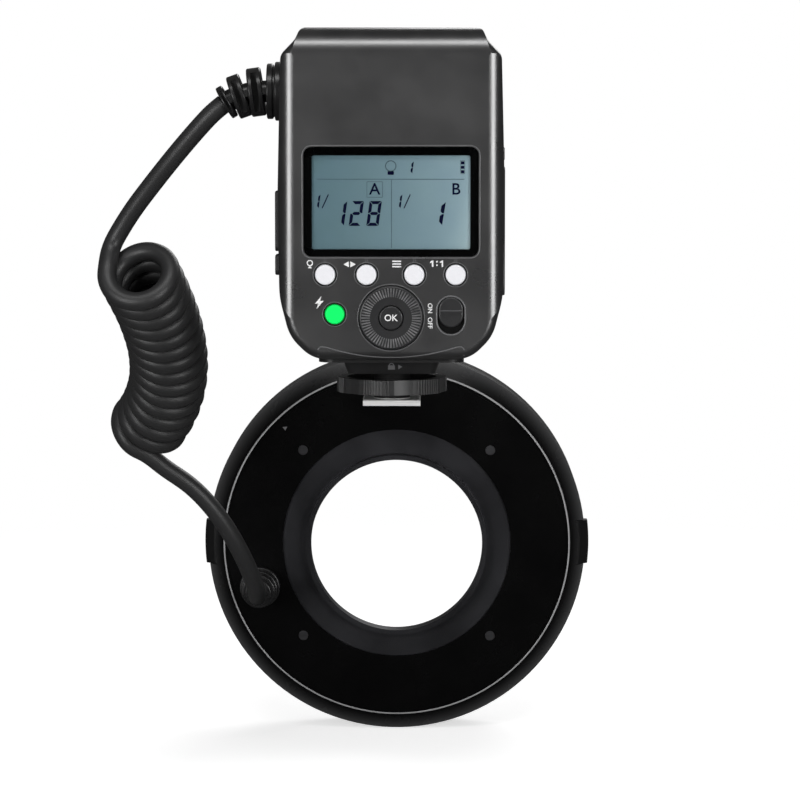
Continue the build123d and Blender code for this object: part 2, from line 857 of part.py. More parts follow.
with BuildPart() as battery_release:
    with BuildSketch(Plane.YZ.offset(half_case + release_proud - release_length)):
        with Locations((battery_y, release_z)):
            Rectangle(release_width - slide_gap, release_height - slide_gap)
    extrude(amount=release_length)
    fillet(battery_release.edges().group_by(Axis.X)[-1], radius=least_round)
battery_release.part.label = "battery_release"
export_step(battery_release.part, "parts/battery_release.step")

# Rubber port flaps on the left side
for name, level, height in flap_list:
    with BuildPart() as flap:
        with BuildSketch(side_plane(flap_inner_x)):
            with Locations((-flap_y, level)):
                RectangleRounded(flap_width, height, flap_corner)
        extrude(amount=flap_thickness)
        fillet(flap.edges().group_by(Axis.X)[0], radius=key_edge)
    flap.part.label = name
    export_step(flap.part, f"parts/{name}.step")

# Foot and neck


def base_discs(depth, radius):
    """Four discs at the base screws' places, from the base plate's underside up."""
    with BuildPart() as discs:
        with BuildSketch(Plane.XY.offset(neck_top)):
            with Locations(*base_screw_places):
                Circle(radius)
        extrude(amount=depth)
    return discs.part


head_holes = base_discs(screw_head_height, screw_head_diameter * half + shank_gap)
shank_holes = base_discs(base_plate_thickness, screw_shank_diameter * half + shank_gap)
with BuildPart() as base_plate:
    with BuildSketch(Plane.XY.offset(neck_top)):
        RectangleRounded(base_plate_width, base_plate_length, base_plate_corner)
    extrude(amount=base_plate_thickness)
    add(head_holes, mode=Mode.SUBTRACT)
    add(shank_holes, mode=Mode.SUBTRACT)
base_plate.part.label = "base_plate"
export_step(base_plate.part, "parts/base_plate.step")

screw_heads = base_discs(screw_head_height, screw_head_diameter * half)
screw_shanks = base_discs(base_screw_length, screw_shank_diameter * half)
with BuildPart() as case_screws:
    add(screw_heads)
    add(screw_shanks)
case_screws.part.label = "case_screws"
export_step(case_screws.part, "parts/case_screws.step")

with BuildPart() as shoe_neck:
    with BuildSketch(Plane.XY.offset(neck_bottom)):
        RectangleRounded(neck_bottom_width, neck_bottom_length, neck_corner)
    with BuildSketch(Plane.XY.offset(neck_top)):
        RectangleRounded(neck_top_width, neck_top_length, neck_corner)
    loft()
shoe_neck.part.label = "shoe_neck"
export_step(shoe_neck.part, "parts/shoe_neck.step")

# Lock wheel: a dished disc with ribbed and scalloped stretches round its rim
section_angle = turn / wheel_sections
rib_angle = section_angle * half / wheel_ribs_per_section
rib_radius = wheel_rib_diameter * half
rib_circle = wheel_diameter * half - rib_radius
scallop_chord = rib_circle * sin(radians(section_angle * half * half))
scallop_radius = (scallop_chord**2 + wheel_scallop_depth**2) / (wheel_scallop_depth + wheel_scallop_depth)
scallop_circle = rib_circle - wheel_scallop_depth + scallop_radius
scallop_angle = (section_angle + section_angle * half - rib_angle) * half
with BuildPart() as lock_wheel:
    with BuildSketch(Plane.XY.offset(wheel_bottom)):
        Circle(rib_circle)
        for section in range(wheel_sections):
            with PolarLocations(rib_circle, wheel_ribs_per_section, section * section_angle, section_angle * half):
                Circle(rib_radius)
        with PolarLocations(scallop_circle, wheel_sections, scallop_angle):
            Circle(scallop_radius, mode=Mode.SUBTRACT)
    extrude(amount=wheel_height)
    with BuildSketch(Plane.XY.offset(wheel_top)):
        Circle(wheel_dish_diameter * half)
    extrude(amount=-wheel_dish_depth, mode=Mode.SUBTRACT)
    with BuildSketch(Plane.XY.offset(wheel_bottom)):
        Circle(stem_diameter * half + wheel_bore_gap)
    extrude(amount=wheel_height, mode=Mode.SUBTRACT)
lock_wheel.part.label = "lock_wheel"
export_step(lock_wheel.part, "parts/lock_wheel.step")

# Foot plate with its stem, bored for the lock pin and the contacts
contact_places = [(0, 0, centre_contact_diameter * half)]
for x in (-half, half):
    contact_places.append((x * inner_contact_spacing, inner_contact_y, side_contact_diameter * half))
    contact_places.append((x * outer_contact_spacing, outer_contact_y, side_contact_diameter * half))

with BuildPart() as foot_plate:
    with BuildSketch():
        Rectangle(foot_width, foot_length)
    extrude(amount=foot_thickness)
    chamfer(foot_plate.edges().group_by(Axis.Z)[-1], length=foot_chamfer)
    with BuildSketch(Plane.XY.offset(foot_thickness)):
        Circle(stem_diameter * half)
    extrude(amount=neck_bottom - foot_thickness)
    with BuildSketch():
        with Locations((lock_pin_x, lock_pin_y)):
            Circle(lock_pin_diameter * half + lock_pin_gap)
    extrude(amount=lock_pin_length + fit_gap + fit_gap, mode=Mode.SUBTRACT)
    with BuildSketch():
        for x, y, radius in contact_places:
            with Locations((x, y)):
                Circle(radius + contact_gap)
    extrude(amount=contact_depth, mode=Mode.SUBTRACT)
foot_plate.part.label = "foot_plate"
export_step(foot_plate.part, "parts/foot_plate.step")

with BuildPart() as lock_pin:
    with BuildSketch(Plane.XY.offset(fit_gap)):
        with Locations((lock_pin_x, lock_pin_y)):
            Circle(lock_pin_diameter * half)
    extrude(amount=lock_pin_length)
lock_pin.part.label = "lock_pin"
export_step(lock_pin.part, "parts/lock_pin.step")

with BuildPart() as foot_contacts:
    with BuildSketch():
        for x, y, radius in contact_places:
            with Locations((x, y)):
                Circle(radius)
    extrude(amount=contact_depth)
foot_contacts.part.label = "foot_contacts"
export_step(foot_contacts.part, "parts/foot_contacts.step")

# Cable gland on the left side: a nut inside, a neck through the wall and two collar rings outside
gland_profile = [
    (gland_end_x, 0),
    (gland_end_x, gland_second_diameter * half),
    (gland_second_x, gland_second_diameter * half),
    (gland_second_x, gland_groove_diameter * half),
    (gland_second_x + gland_groove_width, gland_groove_diameter * half),
    (gland_second_x + gland_groove_width, gland_diameter * half),
    (gland_face_x, gland_diameter * half),
    (gland_face_x, gland_neck_diameter * half),
    (gland_nut_x, gland_neck_diameter * half),
    (gland_nut_x, gland_nut_diameter * half),
    (gland_nut_end_x, gland_nut_diameter * half),
    (gland_nut_end_x, 0),
]
with BuildPart() as cable_gland:
    with BuildSketch(Plane(origin=(0, 0, gland_z), x_dir=(1, 0, 0), z_dir=(0, -1, 0))):
        with BuildLine():
            FilletPolyline(
                *gland_profile,
                radius=[0, gland_edge, gland_edge, 0, 0, gland_edge, gland_edge, 0, 0, 0, 0, 0],
                close=True,
            )
        make_face()
    revolve(axis=Axis((0, 0, gland_z), (1, 0, 0)))
cable_gland.part.label = "cable_gland"
export_step(cable_gland.part, "parts/cable_gland.step")


def relief_place(start, out, down, bend, total, distance):
    """The plane across a strain relief at a distance along it. It leaves start along out and bends down."""
    angle = radians(bend) * distance / total
    reach = sin(angle) / angle if angle else 1
    drop = (1 - cos(angle)) / angle if angle else 0
    way = out * cos(angle) + down * sin(angle)
    return Plane(origin=start + out * reach * distance + down * drop * distance, x_dir=out.cross(down), z_dir=way)


def slotted_relief(start, out, down, bend, share):
    """A strain relief: three slotted hoops on a core, joined by bars at the sides. Returns the piece, the
    middle of its end face and the way it points there."""
    core = relief_core_diameter * half * share
    gap = relief_gap_length * share
    edge = relief_edge * share
    total = sum(relief_hoop_lengths) * share + gap * len(relief_hoop_lengths)
    hoops = []
    distance = 0
    for hoop_length, hoop_diameter in zip(relief_hoop_lengths, relief_hoop_diameters):
        length = hoop_length * share
        radius = hoop_diameter * half * share
        inner = radius - relief_slot_wall * share
        middle = relief_place(start, out, down, bend, total, distance + gap + length * half)
        with BuildPart() as hoop:
            with BuildSketch(middle):
                Circle(radius)
            extrude(amount=length * half, both=True)
            fillet(hoop.edges().filter_by(GeomType.CIRCLE), radius=edge)
            with BuildSketch(middle):
                Rectangle(radius + radius + edge, inner + inner)
                Rectangle(core + core, inner + inner, mode=Mode.SUBTRACT)
            extrude(amount=length * relief_slot_share * half, both=True, mode=Mode.SUBTRACT)
            with BuildSketch(relief_place(start, out, down, bend, total, distance + gap * half)):
                Rectangle(radius + radius - edge - edge, relief_bar_width * share)
            extrude(amount=gap * half + edge, both=True)
        hoops.append(hoop.part)
        distance += gap + length
    first = relief_place(start, out, down, bend, total, 0)
    centre = relief_place(start, out, down, bend, total, total * half)
    end = relief_place(start, out, down, bend, total, total)
    with BuildPart() as relief:
        with BuildLine():
            if bend:
                ThreePointArc(start, centre.origin, end.origin)
            else:
                Line(start, end.origin)
        with BuildSketch(first):
            Circle(core)
        sweep()
        for piece in hoops:
            add(piece)
        split(bisect_by=end, keep=Keep.BOTTOM)
        split(bisect_by=first, keep=Keep.TOP)
    return relief.part, end.origin, end.z_dir


relief_part, upper_exit, upper_exit_way = slotted_relief(
    Vector(gland_end_x, 0, gland_z), Vector(-1, 0, 0), Vector(0, 0, -1), relief_bend, 1
)
relief_part.label = "strain_relief_upper"
export_step(relief_part, "parts/strain_relief_upper.step")

# The ring head's boot: a strain relief on a collar, with a neck and a flange inside the ring
boot_z = ring_z - boot_drop
boot_start = Vector(boot_x, ring_y - boot_collar_width, boot_z)
boot_relief, lower_exit, lower_exit_way = slotted_relief(
    boot_start, Vector(0, -1, 0), Vector(0, 0, -1), 0, ring_relief_share
)
boot_flange_start = ring_wall + fit_gap
boot_profile = [
    (0, -boot_collar_width),
    (boot_collar_diameter * half, -boot_collar_width),
    (boot_collar_diameter * half, 0),
    (boot_neck_diameter * half, 0),
    (boot_neck_diameter * half, boot_flange_start),
    (boot_flange_diameter * half, boot_flange_start),
    (boot_flange_diameter * half, boot_flange_start + boot_flange_width),
    (0, boot_flange_start + boot_flange_width),
]
with BuildPart() as strain_relief_lower:
    with BuildSketch(Plane(origin=(boot_x, ring_y, boot_z), x_dir=(1, 0, 0), z_dir=(0, 0, 1))):
        with BuildLine():
            FilletPolyline(*boot_profile, radius=[0, gland_edge, 0, 0, 0, 0, 0, 0], close=True)
        make_face()
    revolve(axis=Axis((boot_x, ring_y, boot_z), (0, 1, 0)))
    add(boot_relief)
strain_relief_lower.part.label = "strain_relief_lower"
export_step(strain_relief_lower.part, "parts/strain_relief_lower.step")

# Curly cord: a helix on a bowed axis, laid as tangent arcs
coil_axis = Bezier(*coil_axis_points)
coil_turns = coil_full_turns + coil_last_part / turn
quarters = 4
arc_count = round(coil_turns * quarters)
fine_count = arc_count * coil_fine_steps


def coil_points():
    """Points along the helix, with its frame carried along the bowed axis without twisting."""
    points = []
    normal = Vector(1, 0, 0)
    for step in range(fine_count + 1):
        distance = coil_axis.length * step / fine_count
        centre = coil_axis.position_at(distance, PositionMode.LENGTH)
        way = coil_axis.tangent_at(distance, PositionMode.LENGTH)
        normal = (normal - way * normal.dot(way)).normalized()
        side = normal.cross(way)
        angle = radians(coil_start_angle + turn * coil_turns * step / fine_count)
        points.append(centre + (normal * cos(angle) + side * sin(angle)) * coil_turn_radius)
    return points


def biarc_middle(start, start_way, end, end_way):
    """The point where two tangent arcs meet between two points with given directions."""
    chord = end - start
    ways = start_way + end_way
    reach = chord.dot(ways)
    spread = (1 - start_way.dot(end_way)) / half
    arm = (sqrt(reach**2 + spread * chord.dot(chord)) - reach) / spread
    return (start + end + (start_way - end_way) * arm) * half


helix = coil_points()


def helix_way(index):
    """The helix's direction at a point, from its neighbours."""
    if index == 0:
        way = helix[1] * 4 - helix[0] * 3 - helix[2]
    elif index == fine_count:
        way = helix[index] * 3 - helix[index - 1] * 4 + helix[index - 2]
    else:
        way = helix[index + 1] - helix[index - 1]
    return way.normalized()


coil_start_way = helix_way(0)
coil_end_way = helix_way(fine_count)
coil_start = helix[0] - coil_start_way * cord_diameter
coil_end = helix[fine_count] + coil_end_way * cord_diameter

with BuildPart() as cord_coil:
    with BuildLine() as coil_path:
        Line(coil_start, helix[0])
        for arc in range(arc_count):
            near = arc * coil_fine_steps
            far = near + coil_fine_steps
            meeting = biarc_middle(helix[near], helix_way(near), helix[far], helix_way(far))
            TangentArc(helix[near], meeting, tangent=helix_way(near))
            TangentArc(helix[far], meeting, tangent=helix_way(far) * -1)
        Line(helix[fine_count], coil_end)
    with BuildSketch(Plane(origin=coil_start, z_dir=coil_start_way)):
        Circle(cord_diameter * half)
    sweep()
cord_coil.part.label = "cord_coil"
export_step(cord_coil.part, "parts/cord_coil.step")


def least_coil_gap():
    """The least clear distance between the coil's neighbouring turns."""
    wire = coil_path.wire()
    samples = [wire.position_at(number / gap_samples) for number in range(gap_samples + 1)]
    half_turn = int(gap_samples / coil_turns * half)
    least = wire.length
    for first in range(gap_samples):
        last = min(gap_samples, first + half_turn + half_turn + half_turn)
        for second in range(first + half_turn, last):
            least = min(least, (samples[second] - samples[first]).length)
    return least - cord_diameter


coil_gap = least_coil_gap()
print(f"coil: {coil_turns:.2f} turns, {coil_path.wire().length:.1f} mm of cord, least gap {coil_gap:.2f} mm")
if coil_gap < least_cord_gap:
    print("WARNING: the coil's turns are too close")


# Free stretches of cord: straight runs joined by tangent arcs
def corner_radii(points):
    """The bend radius at each corner of a route, a fixed share of what its runs allow."""
    radii = []
    for before, corner, after in zip(points, points[1:], points[2:]):
        first = corner - before
        second = after - corner
        half_angle = radians(first.get_angle(second)) * half
        radii.append(cord_bend_share * min(first.length, second.length) / tan(half_angle))
    return radii


def free_cord(points):
    """A round cord along a route, whose ends are square to its first and last runs."""
    with BuildPart() as cord:
        with BuildLine():
            FilletPolyline(*points, radius=corner_radii(points))
        with BuildSketch(Plane(origin=points[0], z_dir=points[1] - points[0])):
            Circle(cord_diameter * half)
        sweep()
    return cord.part


upper_route = [upper_exit, upper_exit + upper_exit_way * upper_lead]
upper_route += [Vector(*place) for place in upper_route_places]
upper_route += [coil_start - coil_start_way * upper_lead, coil_start]
lower_route = [coil_end, coil_end + coil_end_way * lower_lead]
lower_route += [Vector(*place) for place in lower_route_places]
lower_route += [lower_exit + lower_exit_way * lower_lead, lower_exit]

for name, route in (("cord_upper", upper_route), ("cord_lower", lower_route)):
    free_part = free_cord(route)
    free_part.label = name
    export_step(free_part, f"parts/{name}.step")
    radii = corner_radii(route)
    print(name, "bend radii", [round(radius, 1) for radius in radii], f"volume {free_part.volume:.0f}")
    print(name, "route", [tuple(round(value, 2) for value in point) for point in route])
    if min(radii) < least_bend_ratio * cord_diameter:
        print("WARNING: the cord bends too sharply")

# Ring head


def turned(points):
    """A piece turned about the lens axis from points of radius and depth."""
    with BuildPart() as piece:
        with BuildSketch(Plane(origin=(0, ring_y, ring_z), x_dir=(1, 0, 0), z_dir=(0, 0, 1))):
            Polygon(*points, align=None)
        revolve(axis=ring_axis)
    return piece.part


def light_band(start, depth, inner, outer, half_span, side, corner):
    """A curved band round the ring on one side, from depth start, with rounded corners."""
    middle = 0 if side > 0 else turn * half
    with BuildPart() as band:
        with BuildSketch(ring_plane(start + depth)) as face:
            with BuildLine():
                outer_arc = CenterArc((0, 0), outer, middle - half_span, half_span + half_span)
                inner_arc = CenterArc((0, 0), inner, middle - half_span, half_span + half_span)
                Line(outer_arc @ 0, inner_arc @ 0)
                Line(outer_arc @ 1, inner_arc @ 1)
            make_face()
            if corner:
                fillet(face.vertices(), radius=corner)
        extrude(amount=depth)
    return band.part


def tube_arc(diameter, half_span, side):
    """A round rod along the flash tube's circle on one side."""
    middle = 0 if side > 0 else turn * half
    with BuildPart() as rod:
        with BuildLine(ring_plane(tube_level)) as path:
            CenterArc((0, 0), tube_circle, middle - half_span, half_span + half_span)
        with BuildSketch(Plane(origin=path.line @ 0, z_dir=path.line % 0)):
            Circle(diameter * half)
        sweep()
    return rod.part


sides = [(-1, "left"), (1, "right")]
collar_radius = half_bore + collar_wall
post_place = (collar_radius + post_clearance) * sqrt(half)
post_places = [(x * post_place, z * post_place) for x in (-1, 1) for z in (-1, 1)]
rim_inner = half_ring - ring_wall
bezel_radius = half_ring - bezel_margin
light_outer = half_ring - light_margin
light_inner = light_outer - light_width
tube_circle = (light_outer + light_inner) * half
lamp_span = lamp_angle + degrees((lamp_lens_diameter * half + light_end_gap) / tube_circle)
light_half_span = quarter_turn - lamp_span
claw_reach = half_bore - claw_proud
release_button_outer = half_ring + release_button_proud
release_button_inner = release_button_outer - release_button_length
spring_post_place = release_button_inner - spring_post_inset
slope_across = half_ring - bezel_radius
slope_length = sqrt(slope_across**2 + rim_slope**2)
inner_bezel = bezel_radius + ring_wall * (slope_across - slope_length) / rim_slope
inner_slope_end = ((rim_inner - bezel_radius) * rim_slope + ring_wall * slope_length) / slope_across
button_window_height = release_button_height + release_button_gap + release_button_gap
button_window_inner = release_button_inner - release_travel - release_button_gap
button_window_start = release_button_start - release_button_gap
button_window_end = release_button_end + release_button_gap
claw_slot_start = yoke_start - claw_slot_gap
claw_slot_end = yoke_start + yoke_step + yoke_thickness + claw_slot_gap
claw_slot_width = claw_width + claw_slot_gap + claw_slot_gap

rear_form = turned(
    [
        (half_bore, 0),
        (bezel_radius, 0),
        (half_ring, rim_slope),
        (half_ring, ring_parting),
        (rim_inner, ring_parting),
        (rim_inner, inner_slope_end),
        (inner_bezel, ring_wall),
        (collar_radius, ring_wall),
        (collar_radius, collar_depth),
        (half_bore, collar_depth),
        (half_bore, stop_start + stop_thickness),
        (half_bore - stop_height, stop_start + stop_thickness),
        (half_bore - stop_height, stop_start),
        (half_bore, stop_start),
    ]
)
groove_outer = bezel_radius - bezel_groove_width
with BuildPart() as ring_rear_cover:
    add(rear_form)
    with BuildSketch(ring_plane(spring_post_end)):
        for x in (-spring_post_place, spring_post_place):
            for z in (-spring_post_spread, spring_post_spread):
                with Locations((x, z)):
                    Circle(spring_post_diameter * half)
    extrude(amount=spring_post_end - ring_wall * half)
    with BuildSketch(ring_plane(bezel_groove_depth)):
        Circle(groove_outer)
        Circle(groove_outer - bezel_groove_width, mode=Mode.SUBTRACT)
    extrude(amount=bezel_groove_depth, mode=Mode.SUBTRACT)
    with BuildSketch(ring_plane(ring_screw_sink)):
        with Locations(*post_places):
            Circle(screw_head_diameter * half + shank_gap)
    extrude(amount=ring_screw_sink, mode=Mode.SUBTRACT)
    with BuildSketch(ring_plane(ring_wall)):
        with Locations(*post_places):
            Circle(screw_shank_diameter * half + shank_gap)
        with Locations((boot_x, -boot_drop)):
            Circle(boot_neck_diameter * half + fit_gap)
    extrude(amount=ring_wall, mode=Mode.SUBTRACT)
    with BuildSketch(ring_plane(claw_slot_end)):
        Rectangle(collar_radius + collar_radius + overrun, claw_slot_width)
    extrude(amount=claw_slot_end - claw_slot_start, mode=Mode.SUBTRACT)
    with BuildSketch(ring_plane(button_window_end)):
        Rectangle(ring_diameter + overrun, button_window_height)
        Rectangle(button_window_inner + button_window_inner, button_window_height, mode=Mode.SUBTRACT)
    extrude(amount=button_window_end - button_window_start, mode=Mode.SUBTRACT)
ring_rear_cover.part.label = "ring_rear_cover"
export_step(ring_rear_cover.part, "parts/ring_rear_cover.step")

# Front shell: rim, front face with the light openings, inner lip and four screw posts
front_wall_depth = ring_depth - ring_wall
bevel_inner = half_ring - front_bevel - ring_wall * tan(radians(quarter_turn * half * half))
front_form = turned(
    [
        (half_ring, ring_parting),
        (half_ring, ring_depth - front_bevel),
        (half_ring - front_bevel, ring_depth),
        (half_bore, ring_depth),
        (half_bore, collar_depth + fit_gap),
        (collar_radius, collar_depth + fit_gap),
        (collar_radius, front_wall_depth),
        (bevel_inner, front_wall_depth),
        (rim_inner, front_wall_depth - rim_inner + bevel_inner),
        (rim_inner, ring_parting),
    ]
)
lamp_angles = [quarter_turn - lamp_angle, quarter_turn + lamp_angle]
lamp_angles += [angle + turn * half for angle in lamp_angles]
lamp_places = [(tube_circle * cos(radians(angle)), tube_circle * sin(radians(angle))) for angle in lamp_angles]
opening_start = front_wall_depth - overrun
opening_depth = overrun + ring_wall + overrun
light_openings = [
    light_band(opening_start, opening_depth, light_inner, light_outer, light_half_span, side, light_corner)
    for side, name in sides
]
post_start = ring_wall + fit_gap
with BuildPart() as ring_front_shell:
    add(front_form)
    for opening in light_openings:
        add(opening, mode=Mode.SUBTRACT)
    with BuildSketch(ring_plane(ring_depth)):
        with Locations(*lamp_places):
            Circle(lamp_lens_diameter * half + shank_gap)
    extrude(amount=ring_wall, mode=Mode.SUBTRACT)
    with BuildSketch(ring_plane(front_wall_depth)):
        with Locations(*post_places):
            Circle(post_diameter * half)
    extrude(amount=front_wall_depth - post_start)
    with BuildSketch(ring_plane(ring_screw_length + fit_gap)):
        with Locations(*post_places):
            Circle(screw_shank_diameter * half + shank_gap)
    extrude(amount=ring_screw_length, mode=Mode.SUBTRACT)
ring_front_shell.part.label = "ring_front_shell"
export_step(ring_front_shell.part, "parts/ring_front_shell.step")

# Trigger board behind the reflectors, with holes for the screw posts
trigger_board_end = trigger_board_start + board_thickness
with BuildPart() as trigger_board:
    with BuildSketch(ring_plane(trigger_board_end)):
        Circle(rim_inner - trigger_board_gap)
        Circle(collar_radius + trigger_board_gap, mode=Mode.SUBTRACT)
        with Locations(*post_places):
            Circle(post_diameter * half + slide_gap, mode=Mode.SUBTRACT)
    extrude(amount=board_thickness)
trigger_board.part.label = "trigger_board"
export_step(trigger_board.part, "parts/trigger_board.step")

# Flash windows, reflectors and tubes, one set on each side
lip_start = front_wall_depth - window_lip_thickness
plate_depth = ring_depth - window_sink - lip_start
plate_inner = light_inner + fit_gap
plate_outer = light_outer - fit_gap
plate_span = light_half_span - degrees(fit_gap / light_inner)
lip_inner = light_inner - window_lip_width
lip_outer = light_outer + window_lip_width
lip_span = light_half_span + degrees(window_lip_width / light_inner)
reflector_start = trigger_board_end + fit_gap
reflector_depth = lip_start - fit_gap - reflector_start
reflector_span = light_half_span - degrees(window_lip_width / light_inner)
hollow_start = reflector_start + reflector_wall
hollow_inner = light_inner + reflector_wall
hollow_outer = light_outer - reflector_wall
hollow_span = reflector_span - degrees(reflector_wall / light_inner)
tube_span = reflector_span + tube_end_span
for side, name in sides:
    plate = light_band(lip_start, plate_depth, plate_inner, plate_outer, plate_span, side, light_corner)
    lip = light_band(lip_start, window_lip_thickness, lip_inner, lip_outer, lip_span, side, light_corner)
    with BuildPart() as window:
        add(plate)
        add(lip)
    window.part.label = f"window_{name}"
    export_step(window.part, f"parts/window_{name}.step")

    trough = light_band(reflector_start, reflector_depth, light_inner, light_outer, reflector_span, side, 0)
    hollow = light_band(hollow_start, reflector_depth, hollow_inner, hollow_outer, hollow_span, side, 0)
    tube_hole = tube_arc(tube_diameter + fit_gap + fit_gap, tube_span, side)
    with BuildPart() as reflector:
        add(trough)
        add(hollow, mode=Mode.SUBTRACT)
        add(tube_hole, mode=Mode.SUBTRACT)
    reflector.part.label = f"reflector_{name}"
    export_step(reflector.part, f"parts/reflector_{name}.step")

    flash_tube = tube_arc(tube_diameter, tube_span, side)
    flash_tube.label = f"flash_tube_{name}"
    export_step(flash_tube, f"parts/flash_tube_{name}.step")

# Modelling lamps on their posts, and the clear caps in front of them
lamp_end = lip_start - fit_gap - fit_gap
with BuildPart() as modelling_lamps:
    with BuildSketch(ring_plane(lamp_end)):
        with Locations(*lamp_places):
            Circle(lamp_diameter * half)
    extrude(amount=lamp_length)
    fillet(modelling_lamps.edges().group_by(Axis.Y)[-1], radius=lamp_diameter * half - least_round)
    with BuildSketch(ring_plane(lamp_end - lamp_length)):
        with Locations(*lamp_places):
            Circle(lamp_post_diameter * half)
    extrude(amount=lamp_end - lamp_length - trigger_board_end)
modelling_lamps.part.label = "modelling_lamps"
export_step(modelling_lamps.part, "parts/modelling_lamps.step")

with BuildPart() as lamp_lenses:
    with BuildSketch(ring_plane(ring_depth + lamp_lens_proud)):
        with Locations(*lamp_places):
            Circle(lamp_lens_diameter * half)
    extrude(amount=ring_depth + lamp_lens_proud - lip_start)
    fillet(lamp_lenses.edges().group_by(Axis.Y)[-1], radius=lamp_lens_proud - fit_gap)
    with BuildSketch(ring_plane(front_wall_depth)):
        with Locations(*lamp_places):
            Circle(lamp_lens_diameter * half + lamp_lens_flange)
    extrude(amount=window_lip_thickness)
lamp_lenses.part.label = "lamp_lenses"
export_step(lamp_lenses.part, "parts/lamp_lenses.step")

with BuildPart() as ring_screws:
    with BuildSketch(ring_plane(ring_screw_sink)):
        with Locations(*post_places):
            Circle(screw_head_diameter * half)
    extrude(amount=screw_head_height)
    with BuildSketch(ring_plane(ring_screw_length)):
        with Locations(*post_places):
            Circle(screw_shank_diameter * half)
    extrude(amount=ring_screw_length - ring_screw_sink)
ring_screws.part.label = "ring_screws"
export_step(ring_screws.part, "parts/ring_screws.step")

# Adapter ring: its thread tube screws into the lens, its grooved rim sits in the ring head's bore
adapter_bore = thread_diameter * half - thread_wall
adapter_outer = half_bore - adapter_gap
adapter_floor = adapter_outer - adapter_groove_depth
adapter_inner = adapter_outer - adapter_rim_wall
adapter_end = adapter_start + adapter_length
adapter_groove_start = adapter_start + adapter_web
adapter_groove_end = adapter_groove_start + adapter_groove_width
adapter_ring = turned(
    [
        (adapter_bore, -thread_length),
        (thread_diameter * half, -thread_length),
        (thread_diameter * half, adapter_start),
        (adapter_outer, adapter_start),
        (adapter_outer, adapter_groove_start),
        (adapter_floor, adapter_groove_start),
        (adapter_floor, adapter_groove_end),
        (adapter_outer, adapter_groove_end),
        (adapter_outer, adapter_end),
        (adapter_inner, adapter_end),
        (adapter_inner, adapter_groove_start),
        (adapter_bore, adapter_groove_start),
    ]
)
adapter_ring.label = "adapter_ring"
export_step(adapter_ring, "parts/adapter_ring.step")

# Release yokes tie each button to the claw on the far side, in two layers. Each has a leaf spring.
yoke_inner = collar_radius + yoke_clearance
yoke_outer = yoke_inner + yoke_width
yoke_middle = yoke_inner + yoke_width * half
button_form = turned(
    [
        (release_button_inner, release_button_start),
        (release_button_outer - release_button_slope, release_button_start),
        (release_button_outer, release_button_start + release_button_slope),
        (release_button_outer, release_button_end - release_button_edge),
        (release_button_outer - release_button_edge, release_button_end),
        (release_button_inner, release_button_end),
    ]
)
spring_root = spring_post_place + spring_post_diameter * half + spring_gap
spring_crown = release_button_inner - spring_gap - spring_strip
for layer, (side, name) in enumerate(sides):
    yoke_end = yoke_start + layer * yoke_step + yoke_thickness
    band_side = -side  # the left yoke runs over the top, the right one underneath
    claw_root = claw_reach - overrun
    with BuildPart() as yoke:
        with BuildSketch(ring_plane(yoke_end)):
            Circle(yoke_outer)
            Circle(yoke_inner, mode=Mode.SUBTRACT)
            with Locations((0, band_side * (yoke_outer - release_stem_width * half))):
                Rectangle(yoke_outer + yoke_outer, yoke_outer + yoke_outer, mode=Mode.INTERSECT)
            with Locations((side * (yoke_middle + release_button_inner) * half, 0)):
                Rectangle(release_button_inner - yoke_middle, release_stem_width)
            with Locations((-side * (yoke_middle + claw_root) * half, 0)):
                Rectangle(yoke_middle - claw_root, claw_width)
            Circle(claw_reach, mode=Mode.SUBTRACT)
        extrude(amount=yoke_thickness)
        add(button_form, mode=Mode.SUBTRACT)
    yoke.part.label = f"release_yoke_{name}"
    export_step(yoke.part, f"parts/release_yoke_{name}.step")

    with BuildPart() as button:
        add(button_form)
        with BuildSketch(ring_plane(release_button_end)):
            with Locations((side * release_button_outer, 0)):
                Rectangle(release_button_outer, release_button_height)
        extrude(amount=release_button_end - release_button_start, mode=Mode.INTERSECT)
    button.part.label = f"release_button_{name}"
    export_step(button.part, f"parts/release_button_{name}.step")

    root = side * spring_root
    crown = side * spring_crown
    strip = side * spring_strip
    with BuildPart() as spring:
        with BuildSketch(ring_plane(spring_start + spring_width)):
            with BuildLine():
                ThreePointArc((root, -spring_half_span), (crown, 0), (root, spring_half_span))
                Line((root, spring_half_span), (root + strip, spring_half_span))
                ThreePointArc(
                    (root + strip, spring_half_span), (crown + strip, 0), (root + strip, -spring_half_span)
                )
                Line((root + strip, -spring_half_span), (root, -spring_half_span))
            make_face()
        extrude(amount=spring_width)
    spring.part.label = f"release_spring_{name}"
    export_step(spring.part, f"parts/release_spring_{name}.step")
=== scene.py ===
from math import cos, pi, radians, sin, tau
import bmesh
import bpy
from mathutils import Matrix, Vector
from mathutils.bvhtree import BVHTree


